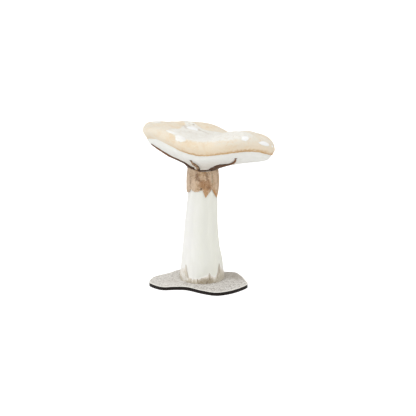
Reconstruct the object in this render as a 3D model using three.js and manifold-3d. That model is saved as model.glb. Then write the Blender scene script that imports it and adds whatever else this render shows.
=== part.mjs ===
// A felt mushroom ornament that stands on a free-form board.
// Millimetres, +Z up. The origin is on the floor under the stem's axis, +X is the right side
// and +Y the back. A direction is an angle in degrees, seen from above, from +X towards +Y,
// so that 180 is the left side and 270 the front.
import * as THREE from "three";
import { mergeVertices } from "three/addons/utils/BufferGeometryUtils.js";
import Module from "manifold-3d";

const wasm = await Module();
wasm.setup();

// Clearance between a piece and what it lies on, and round a pin in its hole
const gap = 0.3;

// Base: pad, board and felt share one outline
const baseLength = 123;
const baseDepth = 97;
const baseShiftRight = -4.7;
const baseShiftBack = -10.3;
const padThickness = 0.8;
const boardThickness = 3.2;
const baseFeltThickness = 1.2;
const baseFeltRounding = 0.4;

// Outline of the base as shares of its half length and half depth, from the left tip
// round the back, the right and the front
const baseOutlineShares = [
  [-1, -0.17],
  [-0.93, 0.24],
  [-0.63, 0.59],
  [-0.39, 0.89],
  [-0.18, 1],
  [0.17, 0.87],
  [0.53, 0.71],
  [0.77, 0.63],
  [0.85, 0.45],
  [0.96, 0],
  [1, -0.32],
  [0.81, -0.67],
  [0.59, -0.9],
  [0.36, -1],
  [0.08, -0.84],
  [-0.24, -0.55],
  [-0.47, -0.52],
  [-0.72, -0.55],
  [-0.9, -0.38],
];

// Screw that holds the post to the board
const screwHeadRadius = 4;
const screwHeadHeight = 2;
const screwShankRadius = 1.8;
const screwLength = 26;
const screwPoint = 3;

// Post inside the stem
const dowelRadius = 6;
const dowelInCap = 30;
const dowelChamfer = 1;

// Stem, from the base felt up to the seat of the cap
const stemHeight = 145;
const stemFootRadius = 27.2;
const stemTopRadius = 16.8;
const stemTaper = 1.6;
const stemFeltThickness = 2;
const stemLevels = [0, 0.08, 0.18, 0.3, 0.45, 0.62, 0.8, 1];

// Band under the cap, with a pointed hem: one depth for each point, from the middle of the front
const collarStraight = 22.7;
const collarThickness = 1.3;
const collarSwell = 1.4;
const collarFirstPoint = 283;
const collarPointDepths = [10.6, 12.8, 9, 11, 8, 10, 6, 3.2];

// Wool round the foot: one height for each tongue, from the left of the middle of the front
const footWoolThickness = 1.1;
const footWoolFlare = 0.3;
const footWoolBand = 6;
const footFirstTongue = 253;
const footTongueHeights = [8, 15, 25, 12, 20, 10, 18, 9, 24];
const footTongueSharpness = 1.5;
const footWoolTipShare = 0.5;

// Cap, seen from above: an oval beside the stem's axis
const capLength = 163.6;
const capDepth = 126;
const capShiftRight = 8.1;
const capShiftBack = 0;
const capFeltThickness = 2;

// Seam of the rim, over the seat: it leans down to the right and to the back, and has waves
// that rise by shares of its height
const seamRise = 28;
const leanRight = 7.5;
const leanBack = 4.5;
const rimWaves = [
  { towards: 70, rise: -0.232, spread: 34 },
  { towards: 108, rise: 0.071, spread: 24 },
  { towards: 216, rise: 0.143, spread: 30 },
  { towards: 256, rise: -0.143, spread: 26 },
  { towards: 308, rise: 0.339, spread: 42 },
];

// Rounded edge over the seam: how far it stands out, at what height, and its shoulder.
// Each has a mean and what the right side has more than it.
const edgeOut = 3.6;
const edgeOutToRight = -1.4;
const edgeHeight = 5.5;
const edgeHeightToRight = -2.5;
const shoulderRise = 17.5;
const shoulderRiseToRight = 1.5;
const shoulderWidth = 18;
const crownDish = 5;
const crownDishBow = 0.2;

// Rounded edge under the seam, with the points of its section as shares of inset and drop
const lipDrop = 9;
const lipDropToRight = -0.3;
const lipInset = 8;
const lipSection = [
  [0.2, 0.4],
  [0.5, 0.75],
  [1, 1],
];

// Throat, where the underside turns down to its seat on the stem
const throatWidth = 3.8;
const throatRise = 4;
const throatRiseToRight = -3;

// Star under the cap, cut by hand. Its outline has directions from the stem's axis, in degrees,
// each with the reach as a share of half the cap's length.
const starThickness = 1.2;
const starHub = 0.247;
const starOutline = [
  [348, starHub],
  [2, 0.36],
  [8, 0.61],
  [14, 0.88],
  [19, 0.61],
  [27, 0.38],
  [48, starHub],
  [66, 0.39],
  [72, 0.61],
  [80, 0.38],
  [112, starHub],
  [127, 0.42],
  [134, 0.66],
  [142, 0.39],
  [172, starHub],
  [187, 0.42],
  [193, 0.59],
  [196, 0.79],
  [201, 0.54],
  [203, 0.4],
  [212, 0.32],
  [226, 0.28],
  [245, starHub],
  [252, starHub],
  [250, 0.32],
  [249.5, 0.4],
  [253, 0.55],
  [254, 0.614],
  [256, 0.51],
  [260, 0.38],
  [262, 0.29],
  [264.5, starHub],
  [298, starHub],
  [306, 0.33],
  [309, 0.38],
  [318, 0.39],
  [325.5, 0.44],
  [326.5, 0.53],
  [320, 0.64],
  [317, 0.693],
  [321.5, 0.66],
  [331, 0.56],
  [335, 0.44],
  [339, 0.33],
];

const strandRadius = 0.9;

// Pale wool in the middle of the crown. Its outline has directions on the cap, in degrees,
// each with the share of the way from the middle to the outermost oval.
const crownWoolThickness = 0.8;
const crownWoolOutline = [
  [0, 0.6],
  [28, 0.62],
  [50, 0.8],
  [61, 0.93],
  [68, 0.62],
  [80, 0.44],
  [96, 0.34],
  [108, 0.42],
  [113, 0.62],
  [117, 0.93],
  [123, 0.95],
  [129, 0.68],
  [147, 0.5],
  [185, 0.5],
  [215, 0.62],
  [229, 0.76],
  [237, 0.9],
  [246, 0.94],
  [257, 0.925],
  [276, 0.945],
  [289, 0.96],
  [300, 0.965],
  [309, 0.93],
  [316, 0.84],
  [330, 0.66],
];

// White spots: the direction on the cap, the share of the felt line from the crown to the
// seam, the size along the rim and across it, and the turn of the long side out of the rim's
// direction. A spot over the crown's wool lies on that.
const spotThickness = 1.6;
const spotEdgeDrop = 0.7;
const spots = [
  { name: "spot_back_left", towards: 156, share: 0.76, length: 12, width: 9, turn: 0 },
  { name: "spot_crown", towards: 130, share: 0.33, length: 13, width: 16, turn: 0, onWool: true },
  { name: "spot_front_left", towards: 240, share: 0.775, length: 13, width: 11, turn: 0, onWool: true },
  { name: "spot_streak", towards: 228, share: 0.76, length: 12, width: 3.6, turn: -8 },
  { name: "spot_right", towards: 306, share: 0.8, length: 12, width: 6.5, turn: 0, onWool: true },
  { name: "spot_right_edge", towards: 329, share: 0.855, length: 19, width: 7, turn: 0 },
  { name: "spot_rim", towards: 345, share: 0.89, length: 3.6, width: 3.6, turn: 0 },
];

// Steps of the faceted surfaces
const capSteps = 40;
const topShares = [0, 0.22, 0.42, 0.58, 0.69, 0.77, 0.84, 0.9, 0.955, 1];
const underShares = [0, 0.05, 0.1, 0.16, 0.28, 0.55, 0.88, 1];
const latheSteps = 36;
const toothSteps = 6;
const collarShares = [0, 0.25, 0.5, 0.75, 1];
const footShares = [0, 0.4, 0.75, 1];
const baseCurveSteps = 3;
const woolCurveSteps = 2;
const strandSteps = 6;
const spotShares = [0.5, 0.85, 1];
const spotSteps = 12;

// Heights that follow from the sizes above
const boardBottom = padThickness;
const boardTop = boardBottom + boardThickness;
const baseTop = boardTop + baseFeltThickness;
const seat = baseTop + stemHeight;
const dowelTop = seat + dowelInCap;
const screwBottom = boardBottom + gap;
const screwTop = screwBottom + screwLength;
const stemTop = seat - gap;
const collarTop = seat - gap - starThickness - gap;
const seatRadius = stemTopRadius + gap + collarThickness + gap;

const radians = THREE.MathUtils.degToRad;
const mix = THREE.MathUtils.lerp;

const mushroom = new THREE.Group();

function addPiece(name, geometry, colour, roughness = 0.95, metalness = 0) {
  const material = new THREE.MeshStandardMaterial({ color: colour, roughness, metalness });
  const piece = new THREE.Mesh(geometry, material);
  piece.name = name;
  mushroom.add(piece);
}

// Facets between rings of points that go round an axis. A ring of one point is a pole. Rings
// run outwards over a top or down an outer wall, and every band is split along the same
// diagonal, so that surfaces through like rings stay parallel.
function facets() {
  const positions = [];
  const index = [];
  const addRing = (points) => {
    const ring = { first: positions.length / 3, count: points.length };
    points.forEach((point) => positions.push(point.x, point.y, point.z));
    return ring;
  };
  const addBand = (upper, lower, insideOut = false) => {
    const corner = (ring, step) => ring.first + (step % ring.count);
    for (let step = 0; step < Math.max(upper.count, lower.count); step++) {
      const [a, b] = [corner(upper, step), corner(upper, step + 1)];
      const [d, c] = [corner(lower, step), corner(lower, step + 1)];
      if (lower.count > 1) index.push(a, ...(insideOut ? [c, d] : [d, c]));
      if (upper.count > 1) index.push(a, ...(insideOut ? [b, c] : [c, b]));
    }
  };
  const geometry = () => {
    const made = new THREE.BufferGeometry();
    made.setAttribute("position", new THREE.Float32BufferAttribute(positions, 3));
    return made.setIndex(index);
  };
  return { addRing, addBand, geometry };
}

// Solid inside one closed surface, from pole to pole, or round and back to its first ring
function solidThrough(rings) {
  const { addRing, addBand, geometry } = facets();
  const made = rings.map(addRing);
  made.slice(1).forEach((ring, i) => addBand(made[i], ring));
  if (rings[0].length > 1) addBand(made.at(-1), made[0]);
  return geometry();
}

// Sheet between an outer and an inner surface through like rings, closed over its edges
function sheetBetween(outer, inner) {
  const { addRing, addBand, geometry } = facets();
  const outside = outer.map(addRing);
  const inside = inner.map(addRing);
  outside.slice(1).forEach((ring, i) => addBand(outside[i], ring));
  inside.slice(1).forEach((ring, i) => addBand(inside[i], ring, true));
  if (outer[0].length > 1) addBand(inside[0], outside[0]);
  addBand(outside.at(-1), inside.at(-1));
  return geometry();
}

function ringOf(count, pointAt) {
  return Array.from({ length: count }, (_, step) => pointAt((2 * Math.PI * step) / count));
}

// Outward direction at every point of a closed surface's rings
function normalsOf(rings) {
  const geometry = solidThrough(rings);
  geometry.computeVertexNormals();
  const normal = geometry.getAttribute("normal");
  let at = 0;
  return rings.map((ring) => ring.map(() => new THREE.Vector3().fromBufferAttribute(normal, at++)));
}

function lifted(rings, normals, distance) {
  return rings.map((ring, i) => ring.map((p, j) => p.clone().addScaledVector(normals[i][j], distance)));
}

function around(angle, radius, height) {
  return new THREE.Vector3(radius * Math.cos(angle), radius * Math.sin(angle), height);
}

// Solid of revolution about the Z axis, from [radius, height] pairs
function revolved(profile) {
  const points = profile.map(([radius, height]) => new THREE.Vector2(radius, height));
  return new THREE.LatheGeometry(points, latheSteps).rotateX(Math.PI / 2);
}

function toManifold(geometry) {
  const bare = geometry.clone();
  bare.deleteAttribute("normal");
  bare.deleteAttribute("uv");
  const merged = mergeVertices(bare, 1e-4);
  const vertProperties = merged.getAttribute("position").array;
  const triVerts = new Uint32Array(merged.getIndex().array);
  return new wasm.Manifold(new wasm.Mesh({ numProp: 3, vertProperties, triVerts }));
}

function fromManifold(solid) {
  const mesh = solid.getMesh();
  const result = new THREE.BufferGeometry();
  result.setAttribute("position", new THREE.BufferAttribute(mesh.vertProperties, 3));
  result.setIndex(new THREE.BufferAttribute(mesh.triVerts, 1));
  return result;
}

function cut(geometry, cutter) {
  return fromManifold(toManifold(geometry).subtract(toManifold(cutter)));
}

function common(geometry, other) {
  return fromManifold(toManifold(geometry).intersect(toManifold(other)));
}

// How near an angle is to a direction: 1 in the direction itself, and 0 from the spread on
function nearness(angle, towards, spread) {
  const turn = THREE.MathUtils.euclideanModulo(angle - radians(towards), 2 * Math.PI);
  return Math.max(0, 1 - Math.min(turn, 2 * Math.PI - turn) / radians(spread));
}

// Sum at an angle of soft waves, each with its own direction, spread and size
function wavesAt(angle, waves, size) {
  return waves.reduce((sum, wave) => {
    const near = nearness(angle, wave.towards, wave.spread);
    return sum + (wave[size] * (1 - Math.cos(Math.PI * near))) / 2;
  }, 0);
}

// Base

// Closed outline through points, with some steps from each to the next
function roundedOutline(points, steps) {
  const outline = new THREE.CatmullRomCurve3(points, true, "centripetal");
  const smooth = outline.getPoints(steps * points.length).slice(0, -1);
  return new THREE.Shape(smooth.map((point) => new THREE.Vector2(point.x, point.y)));
}

function baseShape() {
  const points = baseOutlineShares.map(([right, back]) => {
    const x = baseShiftRight + (right * baseLength) / 2;
    const y = baseShiftBack + (back * baseDepth) / 2;
    return new THREE.Vector3(x, y, 0);
  });
  return roundedOutline(points.reverse(), baseCurveSteps);
}

// Hole about the stem's axis
function roundHole(radius) {
  const points = ringOf(latheSteps, (angle) => around(-angle, radius, 0));
  return new THREE.Path(points.map((point) => new THREE.Vector2(point.x, point.y)));
}

function slab(shape, thickness, rounding, bottom) {
  const settings = { depth: thickness, bevelEnabled: false, curveSegments: latheSteps };
  if (rounding > 0) {
    settings.depth = thickness - 2 * rounding;
    settings.bevelEnabled = true;
    settings.bevelThickness = rounding;
    settings.bevelSize = rounding;
    settings.bevelOffset = -rounding;
    settings.bevelSegments = 1;
  }
  return new THREE.ExtrudeGeometry(shape, settings).translate(0, 0, bottom + rounding);
}

// Countersunk hole for the screw, wider than the screw all round
function screwHole() {
  const headRadius = screwHeadRadius + gap;
  const shankRadius = screwShankRadius + gap;
  return revolved([
    [0, boardBottom - gap],
    [headRadius, boardBottom - gap],
    [headRadius, screwBottom],
    [shankRadius, screwBottom + screwHeadHeight],
    [shankRadius, boardTop + gap],
    [0, boardTop + gap],
  ]);
}

function baseFeltShape() {
  const shape = baseShape();
  shape.holes.push(roundHole(dowelRadius + gap));
  return shape;
}

function buildBase() {
  addPiece("base_pad", slab(baseShape(), padThickness, 0, 0), 0x161412);
  const board = slab(baseShape(), boardThickness, 0, boardBottom);
  addPiece("base_board", cut(board, screwHole()), 0x1c1917, 0.7);
  const felt = slab(baseFeltShape(), baseFeltThickness, baseFeltRounding, boardTop);
  addPiece("base_top_felt", felt, 0xcfc8be);
  const screw = revolved([
    [0, screwBottom],
    [screwHeadRadius, screwBottom],
    [screwShankRadius, screwBottom + screwHeadHeight],
    [screwShankRadius, screwTop - screwPoint],
    [0, screwTop],
  ]);
  addPiece("base_screw", screw, 0xb9bcc0, 0.35, 1);
}

// Stem

// The stem narrows fast over its foot and hardly at all under the cap
function stemRadius(height) {
  const share = THREE.MathUtils.clamp((height - baseTop) / stemHeight, 0, 1);
  const radiusAt = (level) => mix(stemTopRadius, stemFootRadius, (1 - level) ** stemTaper);
  const next = Math.max(1, stemLevels.findIndex((level) => level >= share));
  const [below, above] = [stemLevels[next - 1], stemLevels[next]];
  return mix(radiusAt(below), radiusAt(above), (share - below) / (above - below));
}

function stemWall(inset) {
  return stemLevels.map((share) => {
    const height = Math.min(mix(baseTop, seat, share), stemTop);
    return [stemRadius(height) - inset, height];
  });
}

// A wall round the stem's axis, closed over its end faces
function sleeve(outerWall, innerWall) {
  return revolved([...outerWall, ...innerWall.reverse(), outerWall[0]]);
}

function buildStem() {
  const bore = screwShankRadius + gap;
  const dowel = revolved([
    [0, screwTop + gap],
    [bore, screwTop + gap],
    [bore, boardTop],
    [dowelRadius, boardTop],
    [dowelRadius, dowelTop - dowelChamfer],
    [dowelRadius - dowelChamfer, dowelTop],
    [0, dowelTop],
  ]);
  addPiece("stem_dowel", dowel, 0xcfa878, 0.7);
  const dowelHole = [
    [dowelRadius + gap, baseTop],
    [dowelRadius + gap, stemTop],
  ];
  addPiece("stem_core", sleeve(stemWall(stemFeltThickness + gap), dowelHole), 0xf2f0ea);
  addPiece("stem_felt", sleeve(stemWall(0), stemWall(stemFeltThickness)), 0xf1f0ec);
}

// Height of an edge with evenly spaced teeth, one tip height for each. The teeth have straight
// or, with a sharpness over 1, hollow sides.
function toothedEdge(angle, first, tips, root, sharpness) {
  const spacing = 360 / tips.length;
  return tips.reduce((height, tip, i) => {
    const share = nearness(angle, first + i * spacing, spacing / 2) ** sharpness;
    return height + (tip - root) * share;
  }, root);
}

// Sheet wrapped round the stem: its wall from one edge to the other, outside and inside
function wrap(steps, shares, heightAt, outsideAt) {
  const wall = (radiusAt) =>
    shares.map((share) =>
      ringOf(steps, (angle) => {
        const height = heightAt(angle, share);
        return around(angle, stemRadius(height) + gap + radiusAt(share), height);
      }),
    );
  return sheetBetween(wall(outsideAt), wall(() => 0));
}

function buildCollar() {
  const root = collarTop - collarStraight;
  const tips = collarPointDepths.map((depth) => root - depth);
  const heightAt = (angle, share) => {
    const hem = toothedEdge(angle, collarFirstPoint, tips, root, 1);
    return mix(collarTop, hem, share);
  };
  const outsideAt = (share) => collarThickness + collarSwell * Math.sin(Math.PI * share);
  const steps = toothSteps * collarPointDepths.length;
  addPiece("collar", wrap(steps, collarShares, heightAt, outsideAt), 0xb0917a);
}

function buildFootWool() {
  const root = baseTop + footWoolBand;
  const tips = footTongueHeights.map((height) => baseTop + height);
  const heightAt = (angle, share) => {
    const edge = toothedEdge(angle, footFirstTongue, tips, root, footTongueSharpness);
    return mix(edge, baseTop, share);
  };
  const outsideAt = (share) =>
    footWoolThickness * mix(footWoolTipShare, 1, share) + footWoolFlare * share ** 3;
  const steps = toothSteps * footTongueHeights.length;
  addPiece("foot_wool", wrap(steps, footShares, heightAt, outsideAt), 0xb5a698);
}

// Cap

function outerRim(angle) {
  const x = capShiftRight + (capLength / 2) * Math.cos(angle);
  const y = capShiftBack + (capDepth / 2) * Math.sin(angle);
  return new THREE.Vector3(x, y, 0);
}

function leanAt(x, y) {
  const right = (x - capShiftRight) * Math.tan(radians(leanRight));
  const back = (y - capShiftBack) * Math.tan(radians(leanBack));
  return seat + seamRise - right - back;
}

// Point of the rim, some way inwards from the outermost oval and some way over the seam
function rimPoint(angle, inwards, over) {
  const centre = new THREE.Vector3(capShiftRight, capShiftBack, 0);
  const outer = outerRim(angle);
  const point = outer.clone().lerp(centre, inwards / outer.distanceTo(centre));
  point.z = leanAt(point.x, point.y) + seamRise * wavesAt(angle, rimWaves, "rise") + over;
  return point;
}

// Felt line from the crown's middle over the shoulder and the rounded edge to the seam
function topLine(angle) {
  const toRight = Math.cos(angle);
  const out = edgeOut + edgeOutToRight * toRight;
  const height = edgeHeight + edgeHeightToRight * toRight;
  const rise = shoulderRise + shoulderRiseToRight * toRight;
  const crown = new THREE.Vector3(capShiftRight, capShiftBack, 0);
  crown.z = leanAt(crown.x, crown.y) + shoulderRise - crownDish;
  const bend = (turn) => {
    const inwards = shoulderWidth * (1 - Math.cos(turn));
    return rimPoint(angle, inwards, height + (rise - height) * Math.sin(turn));
  };
  const shoulder = bend(Math.PI / 2);
  const inner = shoulder.clone().lerp(crown, 0.5);
  inner.z -= crownDish * crownDishBow;
  const points = [crown, inner, shoulder, bend(Math.PI / 3), bend(Math.PI / 6), bend(0)];
  points.push(rimPoint(angle, out, 0));
  return new THREE.CatmullRomCurve3(points, false, "centripetal");
}

// Felt line from the seam round the lip and down the funnel to the edge of the seat
function underLine(angle) {
  const toRight = Math.cos(angle);
  const seam = rimPoint(angle, edgeOut + edgeOutToRight * toRight, 0);
  const aim = Math.atan2(seam.y, seam.x);
  const foot = around(aim, seatRadius, seat);
  const rise = throatRise + throatRiseToRight * toRight;
  const throat = around(aim, seatRadius + throatWidth, seat + rise);
  const drop = lipDrop + lipDropToRight * toRight;
  const lip = lipSection.map(([insetShare, dropShare]) => {
    const point = seam.clone().lerp(foot, (lipInset * insetShare) / seam.distanceTo(foot));
    point.z = seam.z - drop * dropShare;
    return point;
  });
  const slope = lip.at(-1).clone().lerp(throat, 0.5);
  return new THREE.CatmullRomCurve3([seam, ...lip, slope, throat, foot], false, "centripetal");
}

// The cap's whole skin, as rings: over the top from the crown to the seam, and below it from
// the seam to the seat, the hole for the post and the stem's axis
function capSkin() {
  const lines = ringOf(capSteps, (angle) => ({ top: topLine(angle), under: underLine(angle) }));
  const seamShare = (line) => gap / 2 / line.getLength();
  const top = topShares.map((share) =>
    lines.map(({ top }) => top.getPointAt(share === 1 ? 1 - seamShare(top) : share)),
  );
  const under = underShares.map((share) =>
    lines.map(({ under }) => under.getPointAt(share === 0 ? seamShare(under) : share)),
  );
  const crown = [top[0][0]];
  const hole = under.at(-1).map((p) => around(Math.atan2(p.y, p.x), dowelRadius + gap, seat));
  const rings = [crown, ...top.slice(1), ...under, hole, [around(0, 0, seat)]];
  return { rings, normals: normalsOf(rings) };
}

const skin = capSkin();

// Numbers of the skin's rings: the outermost, the last over the seam and the edge of the seat
const seamRing = topShares.length - 1;
const edgeRing = seamRing - 2;
const seatRing = seamRing + underShares.length;

// Point over the cap's skin. The place on it is a share of the felt line from the crown to
// the seam, and an angle.
function onTop(share, angle, lift) {
  const next = Math.max(1, topShares.findIndex((ringShare) => ringShare >= share));
  const between = (share - topShares[next - 1]) / (topShares[next] - topShares[next - 1]);
  return onSkin(next - 1 + between, angle, lift);
}

// The same with a ring number, whole or between two, for a share
function onSkin(ringPlace, angle, lift) {
  const turn = THREE.MathUtils.euclideanModulo(angle / (2 * Math.PI), 1) * capSteps;
  const i = Math.floor(ringPlace);
  const j = Math.floor(turn);
  const between = (rings) => {
    const along = [i, i + 1].map((k) => {
      const ring = rings[k];
      return ring[j % ring.length].clone().lerp(ring[(j + 1) % ring.length], turn - j);
    });
    return along[0].lerp(along[1], ringPlace - i);
  };
  return between(skin.rings).addScaledVector(between(skin.normals).normalize(), lift);
}

// Solid of the whole cap, some way outside its skin or, with a lift below 0, inside
function capSolid(lift) {
  return solidThrough(lifted(skin.rings, skin.normals, lift));
}

// Sheet with an outline as seen from above that lies on a part of the cap's skin
function sheetOnCap(outline, thickness, first, last) {
  const prism = new THREE.ExtrudeGeometry(outline, { depth: 2 * seat, bevelEnabled: false });
  const over = skinPart(first, last, gap + thickness);
  return common(prism, sheetBetween(over, skinPart(first, last, gap)));
}

function skinPart(first, last, lift) {
  return lifted(skin.rings, skin.normals, lift).slice(first, last + 1);
}

function buildCapCore() {
  const body = capSolid(-(capFeltThickness + gap));
  const depth = dowelTop + gap - seat;
  const socket = new THREE.CylinderGeometry(dowelRadius + gap, dowelRadius + gap, depth, latheSteps);
  socket.rotateX(Math.PI / 2).translate(0, 0, seat + depth / 2);
  addPiece("cap_core", cut(body, socket), 0xf2f0ea);
}

function buildCapFelts() {
  const felt = (first, last) =>
    sheetBetween(skinPart(first, last, 0), skinPart(first, last, -capFeltThickness));
  addPiece("cap_top_felt", felt(0, seamRing), 0xebdec6);
  addPiece("cap_underside_felt", felt(seamRing + 1, seatRing + 1), 0xecebe5);
}

// Star with a hole that clears the stem
function buildUndersideStar() {
  const edge = starOutline.map(([towards, reach]) => {
    const { x, y } = around(radians(towards), (reach * capLength) / 2, 0);
    return new THREE.Vector2(x, y);
  });
  const outline = new THREE.Shape(edge);
  outline.holes.push(roundHole(stemTopRadius + gap));
  const star = sheetOnCap(outline, starThickness, seamRing + 1, seatRing + 1);
  addPiece("underside_star", star, 0x6b4330);
}

// Strand along the seam, on both felts
function buildRimStrand() {
  const section = ringOf(strandSteps, (turn) => turn);
  const rings = section.map((turn) =>
    ringOf(capSteps, (angle) => {
      const out = onSkin(seamRing + 0.5, angle, 0);
      const outwards = onSkin(seamRing + 0.5, angle, 1).sub(out);
      const along = onSkin(seamRing, angle, 0).sub(onSkin(seamRing + 1, angle, 0)).normalize();
      out.addScaledVector(outwards, gap + strandRadius * (1 + Math.cos(turn)));
      return out.addScaledVector(along, strandRadius * Math.sin(turn));
    }),
  );
  addPiece("rim_strand", solidThrough(rings.reverse()), 0xc79a5c);
}

// Thin sheet over the crown with a free outline
function buildCrownWool() {
  const centre = new THREE.Vector3(capShiftRight, capShiftBack, 0);
  const points = crownWoolOutline.map(([towards, reach]) =>
    centre.clone().lerp(outerRim(radians(towards)), reach),
  );
  const outline = roundedOutline(points, woolCurveSteps);
  const wool = sheetOnCap(outline, crownWoolThickness, 0, edgeRing);
  addPiece("crown_wool", wool, 0xe4e3de);
}

function buildSpot(spot) {
  const middle = radians(spot.towards);
  const place = onTop(spot.share, middle, 0);
  const feltLength = topLine(middle).getLength();
  const smallTurn = radians(5);
  const perRadian = place.distanceTo(onTop(spot.share, middle + smallTurn, 0)) / smallTurn;
  const tilt = radians(spot.turn);
  const under = gap + (spot.onWool ? crownWoolThickness + gap : 0);
  const at = (share, turn, lift) => {
    const along = (spot.length / 2) * share * Math.cos(turn);
    const across = (spot.width / 2) * share * Math.sin(turn);
    const aside = along * Math.cos(tilt) - across * Math.sin(tilt);
    const outwards = along * Math.sin(tilt) + across * Math.cos(tilt);
    return onTop(spot.share + outwards / feltLength, middle - aside / perRadian, lift);
  };
  const face = (liftAt) => [
    [at(0, 0, liftAt(0))],
    ...spotShares.map((share) => ringOf(spotSteps, (turn) => at(share, turn, liftAt(share)))),
  ];
  const over = face((share) => under + spotThickness * (1 - spotEdgeDrop * share ** 3));
  const blank = sheetBetween(over, face(() => 0));
  addPiece(spot.name, cut(blank, capSolid(under)), 0xf8f7f3);
}

buildBase();
buildStem();
buildCollar();
buildFootWool();
buildCapCore();
buildCapFelts();
buildUndersideStar();
buildRimStrand();
buildCrownWool();
spots.forEach(buildSpot);

export default mushroom;
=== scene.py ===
"""A felt mushroom ornament, dressed over its CAD frame and set on a pale studio floor.

Metres, +Z up. The origin is on the floor under the stem's axis, +X is the right side and +Y the
back. A direction is an angle in degrees, seen from above, from +X towards +Y.
"""

import math
import random

import bmesh
import bpy
from bpy.props import FloatProperty, FloatVectorProperty, IntProperty, PointerProperty
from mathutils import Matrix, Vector, noise
from mathutils.bvhtree import BVHTree


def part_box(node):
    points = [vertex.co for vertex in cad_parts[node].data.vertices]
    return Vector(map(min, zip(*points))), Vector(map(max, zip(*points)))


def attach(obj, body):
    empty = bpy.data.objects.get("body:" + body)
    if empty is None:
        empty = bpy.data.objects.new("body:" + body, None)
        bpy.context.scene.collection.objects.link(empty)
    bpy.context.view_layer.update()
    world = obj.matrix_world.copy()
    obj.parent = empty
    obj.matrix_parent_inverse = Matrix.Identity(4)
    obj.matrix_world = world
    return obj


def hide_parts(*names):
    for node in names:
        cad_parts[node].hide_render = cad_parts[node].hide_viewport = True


bl_info = {
    "name": "Felt Mushroom Ornament",
    "version": (1, 0, 0),
    "blender": (4, 5, 0),
    "location": "3D View > Sidebar > Mushroom",
    "description": "Dresses a felt mushroom ornament over its CAD frame",
    "category": "Object",
}

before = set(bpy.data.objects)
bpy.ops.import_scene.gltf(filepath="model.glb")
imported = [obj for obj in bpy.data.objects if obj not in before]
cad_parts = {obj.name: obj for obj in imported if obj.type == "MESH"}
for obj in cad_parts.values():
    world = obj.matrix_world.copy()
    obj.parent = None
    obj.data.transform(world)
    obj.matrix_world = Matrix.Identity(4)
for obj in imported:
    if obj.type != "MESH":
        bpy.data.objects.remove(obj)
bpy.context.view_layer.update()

MM = 0.001
UP = Vector((0, 0, 1))


# Sizes that the frame gives

def low(node):
    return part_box(node)[0]


def high(node):
    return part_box(node)[1]


def extent(node):
    return high(node) - low(node)


BASE_TOP = high("base_top_felt").z
STEM_TOP = high("stem_felt").z
GAP = 0.3 * MM
SEAT = STEM_TOP + GAP
CAP_MIDDLE = (low("cap_top_felt") + high("cap_top_felt")) / 2
BASE_MIDDLE = (low("base_top_felt") + high("base_top_felt")) / 2
DOWEL_RADIUS = extent("stem_dowel").x / 2


# Sizes and colours that a user may change

def size(name, description, millimetres):
    default = millimetres * MM
    return FloatProperty(name=name, description=description, default=default, unit="LENGTH")


def amount(name, description, default):
    return FloatProperty(name=name, description=description, default=default)


def whole(name, description, default):
    return IntProperty(name=name, description=description, default=default)


def angle(name, description, degrees):
    default = math.radians(degrees)
    return FloatProperty(name=name, description=description, default=default, subtype="ANGLE")


def colour(name, description, red, green, blue):
    """A colour that is written as it is seen, with parts from 0 to 255"""
    seen = [part / 255 for part in (red, green, blue)]
    linear = [part / 12.92 if part < 0.04045 else ((part + 0.055) / 1.055) ** 2.4 for part in seen]
    return FloatVectorProperty(
        name=name, description=description, default=linear, subtype="COLOR", size=3, min=0, max=1
    )


class BaseSizes(bpy.types.PropertyGroup):
    """Felt on the base board"""

    length: size("Length", "Length of the felt", extent("base_top_felt").x / MM)
    depth: size("Depth", "Depth of the felt", extent("base_top_felt").y / MM)
    thickness: size("Thickness", "Thickness of the felt", extent("base_top_felt").z / MM)
    raggedness: size("Raggedness", "How far the cut edge strays", 0.25)
    unevenness: size("Unevenness", "Height of the felt's low humps", 0.3)


class StemSizes(bpy.types.PropertyGroup):
    """Felt sleeve of the stem, the collar and the wool round the foot"""

    foot_radius: size("Foot radius", "Radius on the base", extent("stem_felt").x / MM / 2)
    top_radius: size("Top radius", "Radius under the cap", 17.6)
    bow: size("Bow", "How far the middle stands out to the left", 1.8)
    felt: size("Felt", "Thickness of the sleeve", 1.8)
    unevenness: size("Unevenness", "Height of the sleeve's lumps", 0.45)
    collar_straight: size("Collar height", "Height of the collar over its points", 22.7)
    collar_thickness: size("Collar thickness", "Thickness at the collar's edges", 1.3)
    collar_swell: size("Collar swell", "How much the collar's middle stands out", 1.3)
    foot_wool: size("Foot wool", "Thickness of the wool round the foot", 1.1)


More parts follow.
